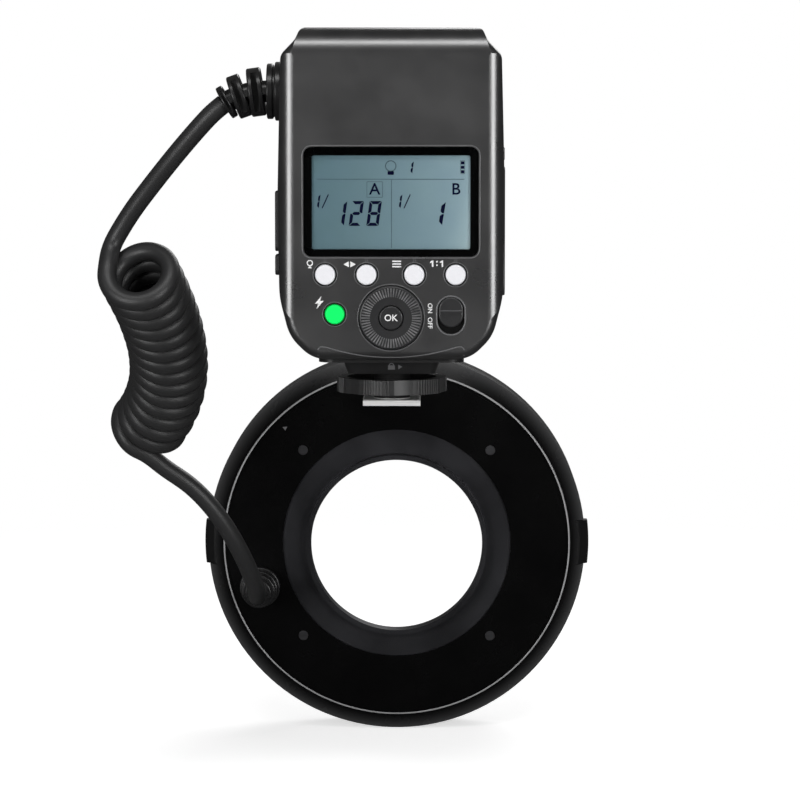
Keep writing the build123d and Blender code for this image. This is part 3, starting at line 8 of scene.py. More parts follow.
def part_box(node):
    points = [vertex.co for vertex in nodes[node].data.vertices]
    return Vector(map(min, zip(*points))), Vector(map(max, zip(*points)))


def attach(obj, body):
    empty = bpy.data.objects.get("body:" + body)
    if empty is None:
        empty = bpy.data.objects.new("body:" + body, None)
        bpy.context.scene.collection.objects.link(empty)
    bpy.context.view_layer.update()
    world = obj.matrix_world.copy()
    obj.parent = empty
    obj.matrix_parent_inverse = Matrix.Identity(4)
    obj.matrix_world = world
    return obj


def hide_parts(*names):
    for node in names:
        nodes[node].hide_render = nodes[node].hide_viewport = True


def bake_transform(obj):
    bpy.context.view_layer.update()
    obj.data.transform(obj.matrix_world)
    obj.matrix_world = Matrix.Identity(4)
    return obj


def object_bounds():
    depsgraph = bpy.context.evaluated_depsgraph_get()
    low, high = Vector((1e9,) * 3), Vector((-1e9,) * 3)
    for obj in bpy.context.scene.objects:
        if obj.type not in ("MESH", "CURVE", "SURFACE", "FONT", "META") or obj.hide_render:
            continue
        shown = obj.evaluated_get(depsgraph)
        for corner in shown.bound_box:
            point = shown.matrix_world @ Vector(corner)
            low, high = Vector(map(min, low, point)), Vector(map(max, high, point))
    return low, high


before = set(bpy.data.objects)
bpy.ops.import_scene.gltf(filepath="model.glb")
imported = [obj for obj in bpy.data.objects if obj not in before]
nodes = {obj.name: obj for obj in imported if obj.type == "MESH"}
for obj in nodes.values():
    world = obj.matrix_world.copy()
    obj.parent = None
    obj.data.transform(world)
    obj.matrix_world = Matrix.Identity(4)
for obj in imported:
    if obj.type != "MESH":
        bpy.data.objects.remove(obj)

# Macro ring flash, seen from its display side. Frame in metres: +Z up, +Y along the ring's axis.
cad_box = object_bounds()
mm = 0.001

# Camera at the photograph's viewing angle
camera_place = Vector((0.0127, -1.0979, 0.1059))
camera_way = Vector((-0.00913, 0.99543, -0.09506))
camera_lens = 152.2

camera_data = bpy.data.cameras.new("photo_camera")
camera_data.lens = camera_lens
camera_data.sensor_width = 36.0
camera_data.clip_start = 0.05
camera = bpy.data.objects.new("photo_camera", camera_data)
camera.location = camera_place
camera.rotation_euler = camera_way.to_track_quat("-Z", "Y").to_euler()
bpy.context.scene.collection.objects.link(camera)
bpy.context.scene.camera = camera
bpy.context.scene.view_settings.view_transform = "Standard"

# Levels on the rear panel and the ring, from the frame
panel_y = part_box("rear_cover")[0][1]
display_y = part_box("lcd_panel")[0][1]
print_thickness = 0.04 * mm
ring_low, ring_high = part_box("ring_rear_cover")
ring_axis_z = (ring_low[2] + ring_high[2]) / 2


# Shared shader groups
def new_group(name, inputs, outputs):
    """An empty node group with its sockets. Each input is (name, type, value), each output (name, type)."""
    group = bpy.data.node_groups.new(name, "ShaderNodeTree")
    for socket, kind, value in inputs:
        made = group.interface.new_socket(name=socket, in_out="INPUT", socket_type=kind)
        made.default_value = value
    for socket, kind in outputs:
        group.interface.new_socket(name=socket, in_out="OUTPUT", socket_type=kind)
    start = group.nodes.new("NodeGroupInput")
    end = group.nodes.new("NodeGroupOutput")
    return group, start, end


def feed(tree, socket, value):
    """Links a socket to another, or sets its own value."""
    if isinstance(value, bpy.types.NodeSocket):
        tree.links.new(value, socket)
    else:
        socket.default_value = value


def math_node(tree, operation, first, second=0.0):
    """A Math node fed by sockets or plain numbers; gives its output."""
    made = tree.nodes.new("ShaderNodeMath")
    made.operation = operation
    feed(tree, made.inputs[0], first)
    feed(tree, made.inputs[1], second)
    return made.outputs[0]


def mix_colours(tree, share, first, second):
    """A colour mix fed by sockets or colours; gives its output."""
    made = tree.nodes.new("ShaderNodeMix")
    made.data_type = "RGBA"
    feed(tree, made.inputs["Factor"], share)
    colour_sockets = [socket for socket in made.inputs if socket.type == "RGBA"]
    for socket, value in zip(colour_sockets, (first, second)):
        feed(tree, socket, value)
    return [socket for socket in made.outputs if socket.type == "RGBA"][0]


def noise(tree, place, scale, detail=2.0, roughness=0.5):
    """Noise at a scale per metre, from 0 to 1."""
    made = tree.nodes.new("ShaderNodeTexNoise")
    made.inputs["Detail"].default_value = detail
    made.inputs["Roughness"].default_value = roughness
    feed(tree, made.inputs["Vector"], place)
    feed(tree, made.inputs["Scale"], scale)
    return made.outputs["Fac"]


def ramp(tree, value, low, high):
    """Stretches value from low..high to 0..1, held at both ends."""
    made = tree.nodes.new("ShaderNodeMapRange")
    made.inputs["From Min"].default_value = low
    made.inputs["From Max"].default_value = high
    tree.links.new(value, made.inputs["Value"])
    return made.outputs["Result"]


def object_place(tree):
    """The point's place on the object at rest."""
    return tree.nodes.new("ShaderNodeTexCoord").outputs["Object"]


def axes_of(tree, vector):
    """A vector's three numbers, as sockets X, Y and Z."""
    split = tree.nodes.new("ShaderNodeSeparateXYZ")
    tree.links.new(vector, split.inputs[0])
    return split.outputs


def grain_group():
    """Fine spark-eroded grain of moulded plastic and rubber."""
    group, start, end = new_group(
        "moulded_grain",
        [("Place", "NodeSocketVector", (0, 0, 0)), ("Scale", "NodeSocketFloat", 2600.0)],
        [("Height", "NodeSocketFloat"), ("Shade", "NodeSocketFloat")],
    )
    fine = noise(group, start.outputs["Place"], start.outputs["Scale"], 3.0, 0.6)
    coarse_scale = math_node(group, "MULTIPLY", start.outputs["Scale"], 0.27)
    coarse = noise(group, start.outputs["Place"], coarse_scale, 1.0, 0.4)
    both = math_node(group, "ADD", math_node(group, "MULTIPLY", fine, 0.7), math_node(group, "MULTIPLY", coarse, 0.3))
    group.links.new(both, end.inputs["Height"])
    group.links.new(ramp(group, both, 0.38, 0.62), end.inputs["Shade"])
    return group


def handling_group():
    """Faint smudges and settled dust: they lift the colour a little and change how the surface shines."""
    group, start, end = new_group(
        "handling",
        [
            ("Place", "NodeSocketVector", (0, 0, 0)),
            ("Colour", "NodeSocketColor", (0.03, 0.03, 0.03, 1)),
            ("Dust Colour", "NodeSocketColor", (0.2, 0.19, 0.18, 1)),
            ("Dust", "NodeSocketFloat", 0.1),
            ("Roughness", "NodeSocketFloat", 0.4),
            ("Spread", "NodeSocketFloat", 0.06),
        ],
        [("Colour", "NodeSocketColor"), ("Roughness", "NodeSocketFloat")],
    )
    place = start.outputs["Place"]
    smudge_scale, speck_scale = 34.0, 1500.0  # per metre
    cloud = ramp(group, noise(group, place, smudge_scale, 4.0, 0.62), 0.36, 0.66)
    speck = ramp(group, noise(group, place, speck_scale, 2.0, 0.5), 0.66, 0.78)
    normal = group.nodes.new("ShaderNodeNewGeometry").outputs["Normal"]
    upward = ramp(group, axes_of(group, normal)["Z"], 0.1, 1.0)
    settled = math_node(group, "ADD", math_node(group, "MULTIPLY", upward, 0.5), 0.12)
    smudged = math_node(group, "MULTIPLY", cloud, 0.35)
    amount = math_node(group, "ADD", smudged, math_node(group, "MULTIPLY", speck, 0.4))
    share = math_node(group, "MULTIPLY", math_node(group, "MULTIPLY", amount, settled), start.outputs["Dust"])
    group.links.new(
        mix_colours(group, share, start.outputs["Colour"], start.outputs["Dust Colour"]), end.inputs["Colour"]
    )
    swing = math_node(group, "MULTIPLY", math_node(group, "SUBTRACT", cloud, 0.5), start.outputs["Spread"])
    group.links.new(math_node(group, "ADD", start.outputs["Roughness"], swing), end.inputs["Roughness"])
    return group


def brushed_group():
    """Fine lines of brushed or drawn metal, along one axis of the object."""
    group, start, end = new_group(
        "brushed_lines",
        [("Place", "NodeSocketVector", (0, 0, 0)), ("Stretch", "NodeSocketVector", (60.0, 4000.0, 4000.0))],
        [("Height", "NodeSocketFloat"), ("Shade", "NodeSocketFloat")],
    )
    stretched = group.nodes.new("ShaderNodeVectorMath")
    stretched.operation = "MULTIPLY"
    group.links.new(start.outputs["Place"], stretched.inputs[0])
    group.links.new(start.outputs["Stretch"], stretched.inputs[1])
    lines = noise(group, stretched.outputs["Vector"], 1.0, 2.0, 0.6)
    group.links.new(lines, end.inputs["Height"])
    group.links.new(ramp(group, lines, 0.35, 0.65), end.inputs["Shade"])
    return group


grain = grain_group()
handling = handling_group()
brushed = brushed_group()


# Finishes
def new_finish(name, metallic=0.0, **constants):
    """A material with its Principled shader; constants go straight on the shader's sockets."""
    material = bpy.data.materials.new(name)
    material.use_nodes = True
    tree = material.node_tree
    shader = tree.nodes["Principled BSDF"]
    shader.inputs["Metallic"].default_value = metallic
    for socket, value in constants.items():
        shader.inputs[socket.replace("_", " ")].default_value = value
    return material, tree, shader


def use_group(tree, group, place, **values):
    """Places a shared group in a material with its own values."""
    made = tree.nodes.new("ShaderNodeGroup")
    made.node_tree = group
    tree.links.new(place, made.inputs["Place"])
    for socket, value in values.items():
        feed(tree, made.inputs[socket.replace("_", " ")], value)
    return made


def finish_surface(tree, shader, worn):
    """Joins the handled colour and roughness to the shader."""
    tree.links.new(worn.outputs["Colour"], shader.inputs["Base Color"])
    tree.links.new(worn.outputs["Roughness"], shader.inputs["Roughness"])


def bump_normal(tree, shader, height, depth):
    """Feeds a height through a Bump node; depth is in metres."""
    bump = tree.nodes.new("ShaderNodeBump")
    bump.inputs["Distance"].default_value = depth
    tree.links.new(height, bump.inputs["Height"])
    tree.links.new(bump.outputs["Normal"], shader.inputs["Normal"])


def moulded(
    name, colour, roughness, scale=2600.0, depth=0.02 * mm, dust=0.3, spread=0.06, mottle=0.1, **constants
):
    """Moulded plastic or rubber: grain, smudges and a little dust."""
    material, tree, shader = new_finish(name, **constants)
    place = object_place(tree)
    surface = use_group(tree, grain, place, Scale=scale)
    darker = tuple(c * (1 - mottle) for c in colour) + (1,)
    lighter = tuple(min(1.0, c * (1 + mottle)) for c in colour) + (1,)
    shade = mix_colours(tree, surface.outputs["Shade"], darker, lighter)
    worn = use_group(tree, handling, place, Colour=shade, Dust=dust, Roughness=roughness, Spread=spread)
    finish_surface(tree, shader, worn)
    bump_normal(tree, shader, surface.outputs["Height"], depth)
    return material


brushed_across = (60.0, 4000.0, 4000.0)  # noise per metre: lines along X
brushed_along = (4000.0, 60.0, 4000.0)  # lines along Y


def metal(name, colour, roughness, stretch=brushed_across, depth=0.004 * mm):
    """Brushed or drawn metal."""
    material, tree, shader = new_finish(name, metallic=1.0)
    place = object_place(tree)
    lines = use_group(tree, brushed, place, Stretch=stretch)
    darker = tuple(c * 0.82 for c in colour) + (1,)
    lighter = tuple(min(1.0, c * 1.08) for c in colour) + (1,)
    shade = mix_colours(tree, lines.outputs["Shade"], darker, lighter)
    worn = use_group(tree, handling, place, Colour=shade, Dust=0.1, Roughness=roughness, Spread=0.12)
    finish_surface(tree, shader, worn)
    bump_normal(tree, shader, lines.outputs["Height"], depth)
    return material


def plated_foot(name, plate, stem_shade):
    """Bright plated foot whose stem, inside the wheel, is painted near black: painted shade for the dark gap between
    the wheel and the neck.
    """
    material, tree, shader = new_finish(name, metallic=0.3)
    place = object_place(tree)
    lines = use_group(tree, brushed, place, Stretch=brushed_across)
    bright = mix_colours(tree, lines.outputs["Shade"], tuple(c * 0.85 for c in plate) + (1,), plate + (1,))
    foot_top = 2.0 * mm
    change = 0.2 * mm
    # Above the foot's top the colour turns near black: painted shade on the stem.
    above = ramp(tree, axes_of(tree, place)["Z"], foot_top, foot_top + change)
    shade = mix_colours(tree, above, bright, stem_shade + (1,))
    roughness = math_node(tree, "ADD", math_node(tree, "MULTIPLY", above, 0.4), 0.3)
    worn = use_group(tree, handling, place, Colour=shade, Dust=0.05, Roughness=roughness, Spread=0.1)
    finish_surface(tree, shader, worn)
    bump_normal(tree, shader, lines.outputs["Height"], 0.004 * mm)
    return material


def clear_plastic(name, tint, alpha, roughness, **constants):
    """A clear or smoked skin: what lies behind it shows through."""
    material, tree, shader = new_finish(name, Alpha=alpha, **constants)
    worn = use_group(
        tree, handling, object_place(tree), Colour=tint + (1,), Dust=0.1, Roughness=roughness, Spread=0.03
    )
    finish_surface(tree, shader, worn)
    return material


def display_finish():
    """The reflective display: blue-grey, with painted shade darker at the left and a painted glow low at the right."""
    material, tree, shader = new_finish("display_grey", IOR=1.2)
    place = object_place(tree)
    low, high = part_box("lcd_panel")
    axes = axes_of(tree, place)
    # Darker at the left, paler to the right: painted shade and light across the display.
    across = math_node(tree, "POWER", ramp(tree, axes["X"], low[0], high[0]), 1.5)
    down = ramp(tree, axes["Z"], high[2], low[2])
    ground = mix_colours(tree, across, (0.108, 0.190, 0.216, 1), (0.285, 0.415, 0.465, 1))
    # A painted glow low at the right.
    edge = math_node(tree, "POWER", across, 11.0)
    corner = math_node(tree, "MULTIPLY", edge, math_node(tree, "ADD", math_node(tree, "MULTIPLY", down, 0.6), 0.1))
    with_painted_glow = mix_colours(tree, corner, ground, (0.70, 0.86, 0.86, 1))
    cloud = ramp(tree, noise(tree, place, 110.0, 3.0), 0.3, 0.7)
    final = mix_colours(tree, math_node(tree, "MULTIPLY", cloud, 0.2), with_painted_glow, (0.148, 0.235, 0.325, 1))
    tree.links.new(final, shader.inputs["Base Color"])
    tree.links.new(math_node(tree, "ADD", math_node(tree, "MULTIPLY", down, 0.05), 0.55), shader.inputs["Roughness"])
    return material


def ribbed_diffuser():
    """Translucent window moulded with fine prisms."""
    material, tree, shader = new_finish("ribbed_diffuser", Transmission_Weight=0.55, IOR=1.49)
    place = object_place(tree)
    axes = axes_of(tree, place)
    prism_pitch = 1.6 * mm
    waves = [math_node(tree, "SINE", math_node(tree, "MULTIPLY", axes[way], tau / prism_pitch)) for way in "XZ"]
    worn = use_group(tree, handling, place, Colour=(0.86, 0.88, 0.87, 1), Dust=0.1, Roughness=0.24, Spread=0.06)
    finish_surface(tree, shader, worn)
    bump_normal(tree, shader, math_node(tree, "ADD", *waves), 0.09 * mm)
    return material


def ribbed_dial(name, face, crest_wear_and_highlight):
    """The dial's face, with the tops of its ribs painted paler: partly wear, partly a painted highlight for the light
    the ribs catch.
    """
    material, tree, shader = new_finish(name)
    place = object_place(tree)
    surface = use_group(tree, grain, place, Scale=2600.0)
    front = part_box("select_dial")[0][1]
    plain_depth, paler_depth = 0.28 * mm, 0.05 * mm  # below the dial's front
    # Paler rib tops: partly wear, partly a painted highlight on the crests.
    crest_wear_and_highlight_mask = ramp(tree, axes_of(tree, place)["Y"], front + plain_depth, front + paler_depth)
    uneven = math_node(tree, "MULTIPLY", crest_wear_and_highlight_mask, ramp(tree, noise(tree, place, 260.0, 2.0), 0.25, 0.65))
    shade = mix_colours(tree, uneven, face + (1,), crest_wear_and_highlight + (1,))
    worn = use_group(tree, handling, place, Colour=shade, Dust=0.2, Roughness=0.34, Spread=0.06)
    finish_surface(tree, shader, worn)
    bump_normal(tree, shader, surface.outputs["Height"], 0.008 * mm)
    return material


def ring_shell(name, face, shoulder_highlight):
    """The ring's back: black in the middle, with a shoulder that grows paler towards the rim, a painted highlight for
    the soft light on its rounded shoulder.
    """
    material, tree, shader = new_finish(name, IOR=1.25)
    place = object_place(tree)
    surface = use_group(tree, grain, place, Scale=3000.0)
    axes = axes_of(tree, place)
    above = math_node(tree, "SUBTRACT", axes["Z"], ring_axis_z)
    squares = [math_node(tree, "MULTIPLY", way, way) for way in (axes["X"], above)]
    radius = math_node(tree, "SQRT", math_node(tree, "ADD", *squares))
    # Paler towards the rim: a painted highlight on the shoulder.
    painted_highlight_start = 63.5 * mm
    share = math_node(tree, "POWER", ramp(tree, radius, painted_highlight_start, ring_high[0]), 2.2)
    shade = mix_colours(tree, share, face + (1,), shoulder_highlight + (1,))
    worn = use_group(tree, handling, place, Colour=shade, Dust=0.02, Roughness=0.26, Spread=0.06)
    finish_surface(tree, shader, worn)
    bump_normal(tree, shader, surface.outputs["Height"], 0.003 * mm)
    return material


case_black = moulded(
    "case_black", (0.008, 0.008, 0.0086), 0.30, 3200.0, 0.006 * mm, mottle=0.25, IOR=1.75, Specular_IOR_Level=1.0
)
foot_black = moulded("foot_black", (0.010, 0.010, 0.0104), 0.38, 3200.0, 0.010 * mm, IOR=1.4)
ring_black = ring_shell("ring_black", (0.0008, 0.0008, 0.0009), (0.050, 0.050, 0.051))
button_black = moulded("button_black", (0.004, 0.004, 0.0042), 0.3, 3000.0, 0.003 * mm, dust=0.05)
bezel_black = moulded("bezel_black", (0.004, 0.004, 0.0042), 0.20, 3000.0, 0.003 * mm, dust=0.1)
wheel_black = moulded("wheel_black", (0.022, 0.022, 0.0225), 0.34, 3000.0, 0.008 * mm)
dial_black = ribbed_dial("dial_black", (0.018, 0.018, 0.019), (0.22, 0.22, 0.225))
slider_black = moulded("slider_black", (0.022, 0.022, 0.023), 0.30, 2600.0, 0.006 * mm)
border_black = moulded("border_black", (0.0008, 0.0008, 0.0008), 0.5, 2600.0, 0.002 * mm, dust=0.0, IOR=1.1)
cord_black = moulded("cord_black", (0.020, 0.020, 0.0205), 0.44, 5000.0, 0.0015 * mm, dust=0.1)
boot_black = moulded("boot_black", (0.010, 0.010, 0.0104), 0.28, 3000.0, 0.005 * mm)
flap_black = moulded("flap_black", (0.020, 0.020, 0.021), 0.50, 2400.0, 0.012 * mm)
key_white = moulded("key_white", (0.78, 0.78, 0.81), 0.42, 2600.0, 0.002 * mm, dust=0.05, mottle=0.02)
key_green = moulded(
    "key_green", (0.0, 0.84, 0.13), 0.42, 2600.0, 0.002 * mm, dust=0.0, mottle=0.02,
    Emission_Color=(0, 1, 0.15, 1), Emission_Strength=0.12, Specular_IOR_Level=0.2,
)
part_black = moulded("part_black", (0.045, 0.045, 0.048), 0.5, 2200.0, 0.02 * mm)
board_green = moulded("board_green", (0.03, 0.16, 0.07), 0.35, 900.0, 0.02 * mm)
guide_white = moulded("guide_white", (0.8, 0.82, 0.84), 0.45, 1500.0, 0.01 * mm)
sleeve_blue = moulded("sleeve_blue", (0.03, 0.03, 0.06), 0.3, 700.0, 0.02 * mm)
battery_grey = moulded("battery_grey", (0.04, 0.04, 0.042), 0.38, 2600.0, 0.010 * mm)
lamp_cream = moulded("lamp_cream", (0.85, 0.80, 0.62), 0.35, 1500.0, 0.01 * mm)
foot_metal = plated_foot("foot_metal", (0.93, 0.93, 0.92), (0.01, 0.01, 0.01))
pin_metal = metal("pin_metal", (0.6, 0.6, 0.6), 0.28)
contact_metal = metal("contact_metal", (0.80, 0.62, 0.28), 0.22)
screw_metal = metal("screw_metal", (0.10, 0.10, 0.105), 0.32)
spring_metal = metal("spring_metal", (0.55, 0.55, 0.56), 0.28)
adapter_metal = metal("adapter_metal", (0.055, 0.055, 0.06), 0.36, brushed_along)
reflector_metal = metal("reflector_metal", (0.88, 0.88, 0.88), 0.10, (300.0, 300.0, 300.0), 0.006 * mm)
window_clear = clear_plastic("window_clear", (0.004, 0.005, 0.006), 0.06, 0.12, IOR=1.25)
tube_clear = clear_plastic("tube_clear", (0.9, 0.92, 0.95), 0.35, 0.05)
lens_clear = clear_plastic("lens_clear", (0.9, 0.9, 0.88), 0.35, 0.08)
display_grey = display_finish()
diffuser = ribbed_diffuser()
print_white = moulded("print_white", (0.78, 0.78, 0.78), 0.5, 3000.0, 0.002 * mm, dust=0.0, mottle=0.03)
# Light grey: on the raised rims, the switch ridge and the case's low line a painted highlight on their edges; on the
# ticks, the neck's padlock and the ring's mark a print.
mark_and_highlight_grey = moulded("mark_and_highlight_grey", (0.12, 0.12, 0.124), 0.30, 3000.0, 0.002 * mm, dust=0.1)
# Pale grey for the ring's raised line: a painted highlight on its edge.
bead_highlight_grey = moulded("bead_highlight_grey", (0.32, 0.32, 0.325), 0.28, 3000.0, 0.002 * mm, dust=0.1)
# Near black for the gaps round the keys and the switch slot's floor: painted shade.
painted_shade_black = moulded("painted_shade_black", (0.003, 0.003, 0.003), 0.5, 3000.0, 0.002 * mm, dust=0.0, IOR=1.2)
segment_dark = moulded("segment_dark", (0.004, 0.005, 0.026), 0.5, 3000.0, 0.001 * mm, dust=0.0, IOR=1.1)
line_dark = moulded("line_dark", (0.065, 0.105, 0.125), 0.5, 3000.0, 0.001 * mm, dust=0.0, IOR=1.1)

finishes = {
    case_black: ("rear_cover", "front_case", "battery_release", "battery_bay"),
    foot_black: ("shoe_neck", "base_plate"),
    ring_black: ("ring_rear_cover",),
    button_black: ("release_button_left", "release_button_right"),
    bezel_black: ("ring_front_shell",),
    wheel_black: ("lock_wheel",),
    dial_black: ("select_dial",),
    slider_black: ("set_button", "power_switch"),
    boot_black: ("cable_gland", "strain_relief_upper", "strain_relief_lower"),
    flap_black: ("port_cover_upper", "port_cover_lower"),
    cord_black: ("cord_upper", "cord_coil", "cord_lower"),
    border_black: ("window_mask",),
    window_clear: ("display_window",),
    display_grey: ("lcd_panel",),
    guide_white: ("lcd_backlight",),
    key_white: ("function_button_1", "function_button_2", "function_button_3", "function_button_4"),
    key_green: ("test_button",),
    board_green: ("main_board", "button_board", "trigger_board"),
    part_black: ("board_switches", "dial_encoder", "side_sockets", "hv_transformer"),
    sleeve_blue: ("main_capacitor",),
    battery_grey: ("battery_pack",),
    lamp_cream: ("modelling_lamps",),
    foot_metal: ("foot_plate",),
    pin_metal: ("lock_pin",),
    contact_metal: ("battery_contacts", "foot_contacts"),
    screw_metal: ("case_screws", "ring_screws"),
    spring_metal: ("release_spring_left", "release_spring_right", "release_yoke_left", "release_yoke_right"),
    adapter_metal: ("adapter_ring",),
    reflector_metal: ("reflector_left", "reflector_right"),
    tube_clear: ("flash_tube_left", "flash_tube_right"),
    lens_clear: ("lamp_lenses",),
    diffuser: ("window_left", "window_right"),
}
for finish, names in finishes.items():
    for name in names:
        mesh = nodes[name].data
        mesh.materials.clear()
        mesh.materials.append(finish)


# Building pieces
def add_piece(name, mesh, body, finish):
    """A shown piece that rides on a body."""
    made = bpy.data.objects.new(name, mesh)
    bpy.context.scene.collection.objects.link(made)
    mesh.materials.clear()
    mesh.materials.append(finish)
    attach(made, body)


def mesh_of(curve, name):
    """The mesh that a curve or text makes, on its own."""
    carrier = bpy.data.objects.new(name, curve)
    bpy.context.scene.collection.objects.link(carrier)
    bpy.context.view_layer.update()
    mesh = bpy.data.meshes.new_from_object(carrier.evaluated_get(bpy.context.evaluated_depsgraph_get()))
    bpy.data.objects.remove(carrier)
    mesh.name = name
    return mesh


# Cord: one tube from the control unit's boot through the coil to the ring head's boot
cord_diameter = 6.3 * mm
upper_route = [
    (-54.38, 0.0, 97.27), (-57.6, 0.2, 94.8), (-61.4, 1.2, 90.9), (-66.9, 3.2, 84.8), (-72.8, 5.6, 77.9),
    (-78.7, 8.8, 70.7), (-84.4, 11.2, 63.5), (-89.1, 13.2, 56.5), (-92.7, 13.6, 50.1),
]
lower_route = [
    (-86.1, 74.1, -25.0), (-79.9, 75.0, -30.3), (-71.6, 76.9, -36.0), (-64.7, 78.3, -43.3),
    (-59.0, 80.3, -51.6), (-54.7, 83.8, -60.1), (-51.7, 89.5, -68.0), (-50.0, 97.3, -74.5),
    (-49.8, 106.5, -79.1), (-50.2, 116.5, -81.8), (-50.9, 126.77, -83.3), (-50.9, 135.07, -83.3),
]
coil_axis = [(-83.3, 5.0, 42.8), (-77.4, 31.0, 26.7), (-70.0, 57.0, 3.7), (-87.4, 81.0, -16.7)]
coil_radius = 10.3
coil_turns = 14 + 82 / 360
coil_start_angle = radians(165)
points_per_turn = 16
control_spread = 1 / cos(pi / points_per_turn)  # a quadratic spline runs inside its control points


def axis_point(share):
    """Point and direction on the coil's bowed axis, a cubic curve through four given points."""
    a, b, c, d = (Vector(p) for p in coil_axis)
    rest = 1 - share
    point = a * rest**3 + b * (3 * rest**2 * share) + c * (3 * rest * share**2) + d * share**3
    way = (b - a) * (3 * rest**2) + (c - b) * (6 * rest * share) + (d - c) * (3 * share**2)
    return point, way.normalized()


def coil_route():
    """Control points of the curly cord's helix, with the normal carried along the axis without twist."""
    fine = 400
    points = [axis_point(i / fine) for i in range(fine + 1)]
    lengths = [0.0]
    for (before, _), (after, _) in zip(points, points[1:]):
        lengths.append(lengths[-1] + (after - before).length)
    normal = Vector((1, 0, 0))
    normals = []
    for _, way in points:
        normal = (normal - way * normal.dot(way)).normalized()
        normals.append(normal)
    route = []
    count = round(coil_turns * points_per_turn)
    index = 0
    for step in range(count + 1):
        along = lengths[-1] * step / count
        while index < fine - 1 and lengths[index + 1] < along:
            index += 1
        share = (along - lengths[index]) / (lengths[index + 1] - lengths[index])
        point = points[index][0].lerp(points[index + 1][0], share)
        way = points[index][1].lerp(points[index + 1][1], share).normalized()
        outward = normals[index].lerp(normals[index + 1], share).normalized()
        side = outward.cross(way)
        angle = coil_start_angle + coil_turns * tau * step / count
        route.append(point + (outward * cos(angle) + side * sin(angle)) * coil_radius * control_spread)
    return route


def cord_curve(name):
    """The cord's centreline as a quadratic NURBS through its route."""
    route = [Vector(p) for p in upper_route] + coil_route() + [Vector(p) for p in lower_route]
    curve = bpy.data.curves.new(name, "CURVE")
    curve.dimensions = "3D"
    curve.resolution_u = 4
    spline = curve.splines.new("NURBS")
    spline.points.add(len(route) - 1)
    for place, point in zip(spline.points, route):
        place.co = (*(point * mm), 1)
    spline.order_u = 3
    spline.use_endpoint_u = True
    return curve


def curly_cord():
    """The whole cord as one tube, in place of the cord's three parts, which are hidden."""
    line = cord_curve("cord_line")
    path = [tuple(v.co) for v in mesh_of(line, "cord_line").vertices]
    tube = cord_curve("curly_cord")
    tube.bevel_depth = cord_diameter / 2
    tube.bevel_resolution = 6
    tube.use_fill_caps = True
    mesh = mesh_of(tube, "curly_cord")
    for face in mesh.polygons:
        face.use_smooth = True
    cord = bpy.data.objects.new("curly_cord", mesh)
    bpy.context.scene.collection.objects.link(cord)
    mesh.materials.clear()
    mesh.materials.append(cord_black)
    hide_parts("cord_upper", "cord_coil", "cord_lower")
    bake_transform(cord)


curly_cord()


# Prints and shapes on flat faces, drawn as (across, up) in millimetres
def face_matrix(across, level, y, turned=0.0):
    """Stands a flat drawing on a face that looks back along -Y."""
    return Matrix.Translation((across, y, level)) @ Matrix.Rotation(pi / 2, 4, "X") @ Matrix.Rotation(turned, 4, "Z")


def drawn(name, outlines, place):
    """A print as a thin plate from closed outlines; an outline inside another is a hole."""
    curve = bpy.data.curves.new(name, "CURVE")
    curve.dimensions = "2D"
    curve.fill_mode = "BOTH"
    curve.extrude = print_thickness / 2
    for outline in outlines:
        spline = curve.splines.new("POLY")
        spline.points.add(len(outline) - 1)
        for point, (across, up) in zip(spline.points, outline):
            point.co = (across * mm, up * mm, 0, 1)
        spline.use_cyclic_u = True
    mesh = mesh_of(curve, name)
    mesh.transform(place)
    return mesh


def lettered(name, words, size, place):
    """Lettering centred on its place; size is the height of a capital in millimetres."""
    text = bpy.data.curves.new(name, "FONT")
    text.body = words
    text.size = size * mm / 0.7
    text.align_x = "CENTER"
    text.align_y = "CENTER"
    text.extrude = print_thickness / 2
    text.offset = 0.018 * size * mm
    text.resolution_u = 6
    mesh = mesh_of(text, name)
    mesh.transform(place)
    return mesh


def circle(across, up, radius, count=40, start=0.0, sweep=tau):
    """Points round a circle or along an arc."""
    whole = abs(sweep - tau) < 1e-6
    steps = count if whole else count - 1
    return [
        (across + radius * cos(start + sweep * i / steps), up + radius * sin(start + sweep * i / steps))
        for i in range(count)
    ]


def box_outline(left, bottom, right, top):
    return [(left, bottom), (right, bottom), (right, top), (left, top)]


def rounded_outline(width, height, corner, across=0.0, up=0.0):
    """A rectangle with round corners about its centre."""
    outline = []
    for quarter, (sx, sy) in enumerate(((1, 1), (-1, 1), (-1, -1), (1, -1))):
        centre = (across + sx * (width / 2 - corner), up + sy * (height / 2 - corner))
        outline += circle(*centre, corner, 9, quarter * pi / 2, pi / 2)
    return outline


def stroke(start, end, width):
    """A straight bar between two points."""
    a, b = Vector(start), Vector(end)
    side = (b - a).normalized().orthogonal() * (width / 2)
    return [tuple(a + side), tuple(a - side), tuple(b - side), tuple(b + side)]


def raised_line(name, outline, width, proud, face_y, closed=True):
    """A half-round moulded line along an outline on a face that looks back."""
    steps = 6
    made = bmesh.new()
    count = len(outline)
    rows = []
    for index, point in enumerate(outline):
        before = Vector(outline[index - 1] if closed or index else point)
        after = Vector(outline[(index + 1) % count] if closed or index < count - 1 else point)
        along = (after - before).normalized()
        outward = Vector((along.y, -along.x))
        row = []
        for step in range(steps + 1):
            angle = pi * step / steps
            across, up = Vector(point) + outward * (cos(angle) * width / 2)
            row.append(made.verts.new((across * mm, face_y - sin(angle) * proud * mm, up * mm)))
        rows.append(row)
    following = rows[1:] + rows[:1] if closed else rows[1:]
    for row, other in zip(rows, following):
        for a, b, c, d in zip(row, row[1:], other[1:], other):
            made.faces.new((a, b, c, d)).smooth = True
    bmesh.ops.recalc_face_normals(made, faces=made.faces)
    mesh = bpy.data.meshes.new(name)
    made.to_mesh(mesh)
    made.free()
    return mesh


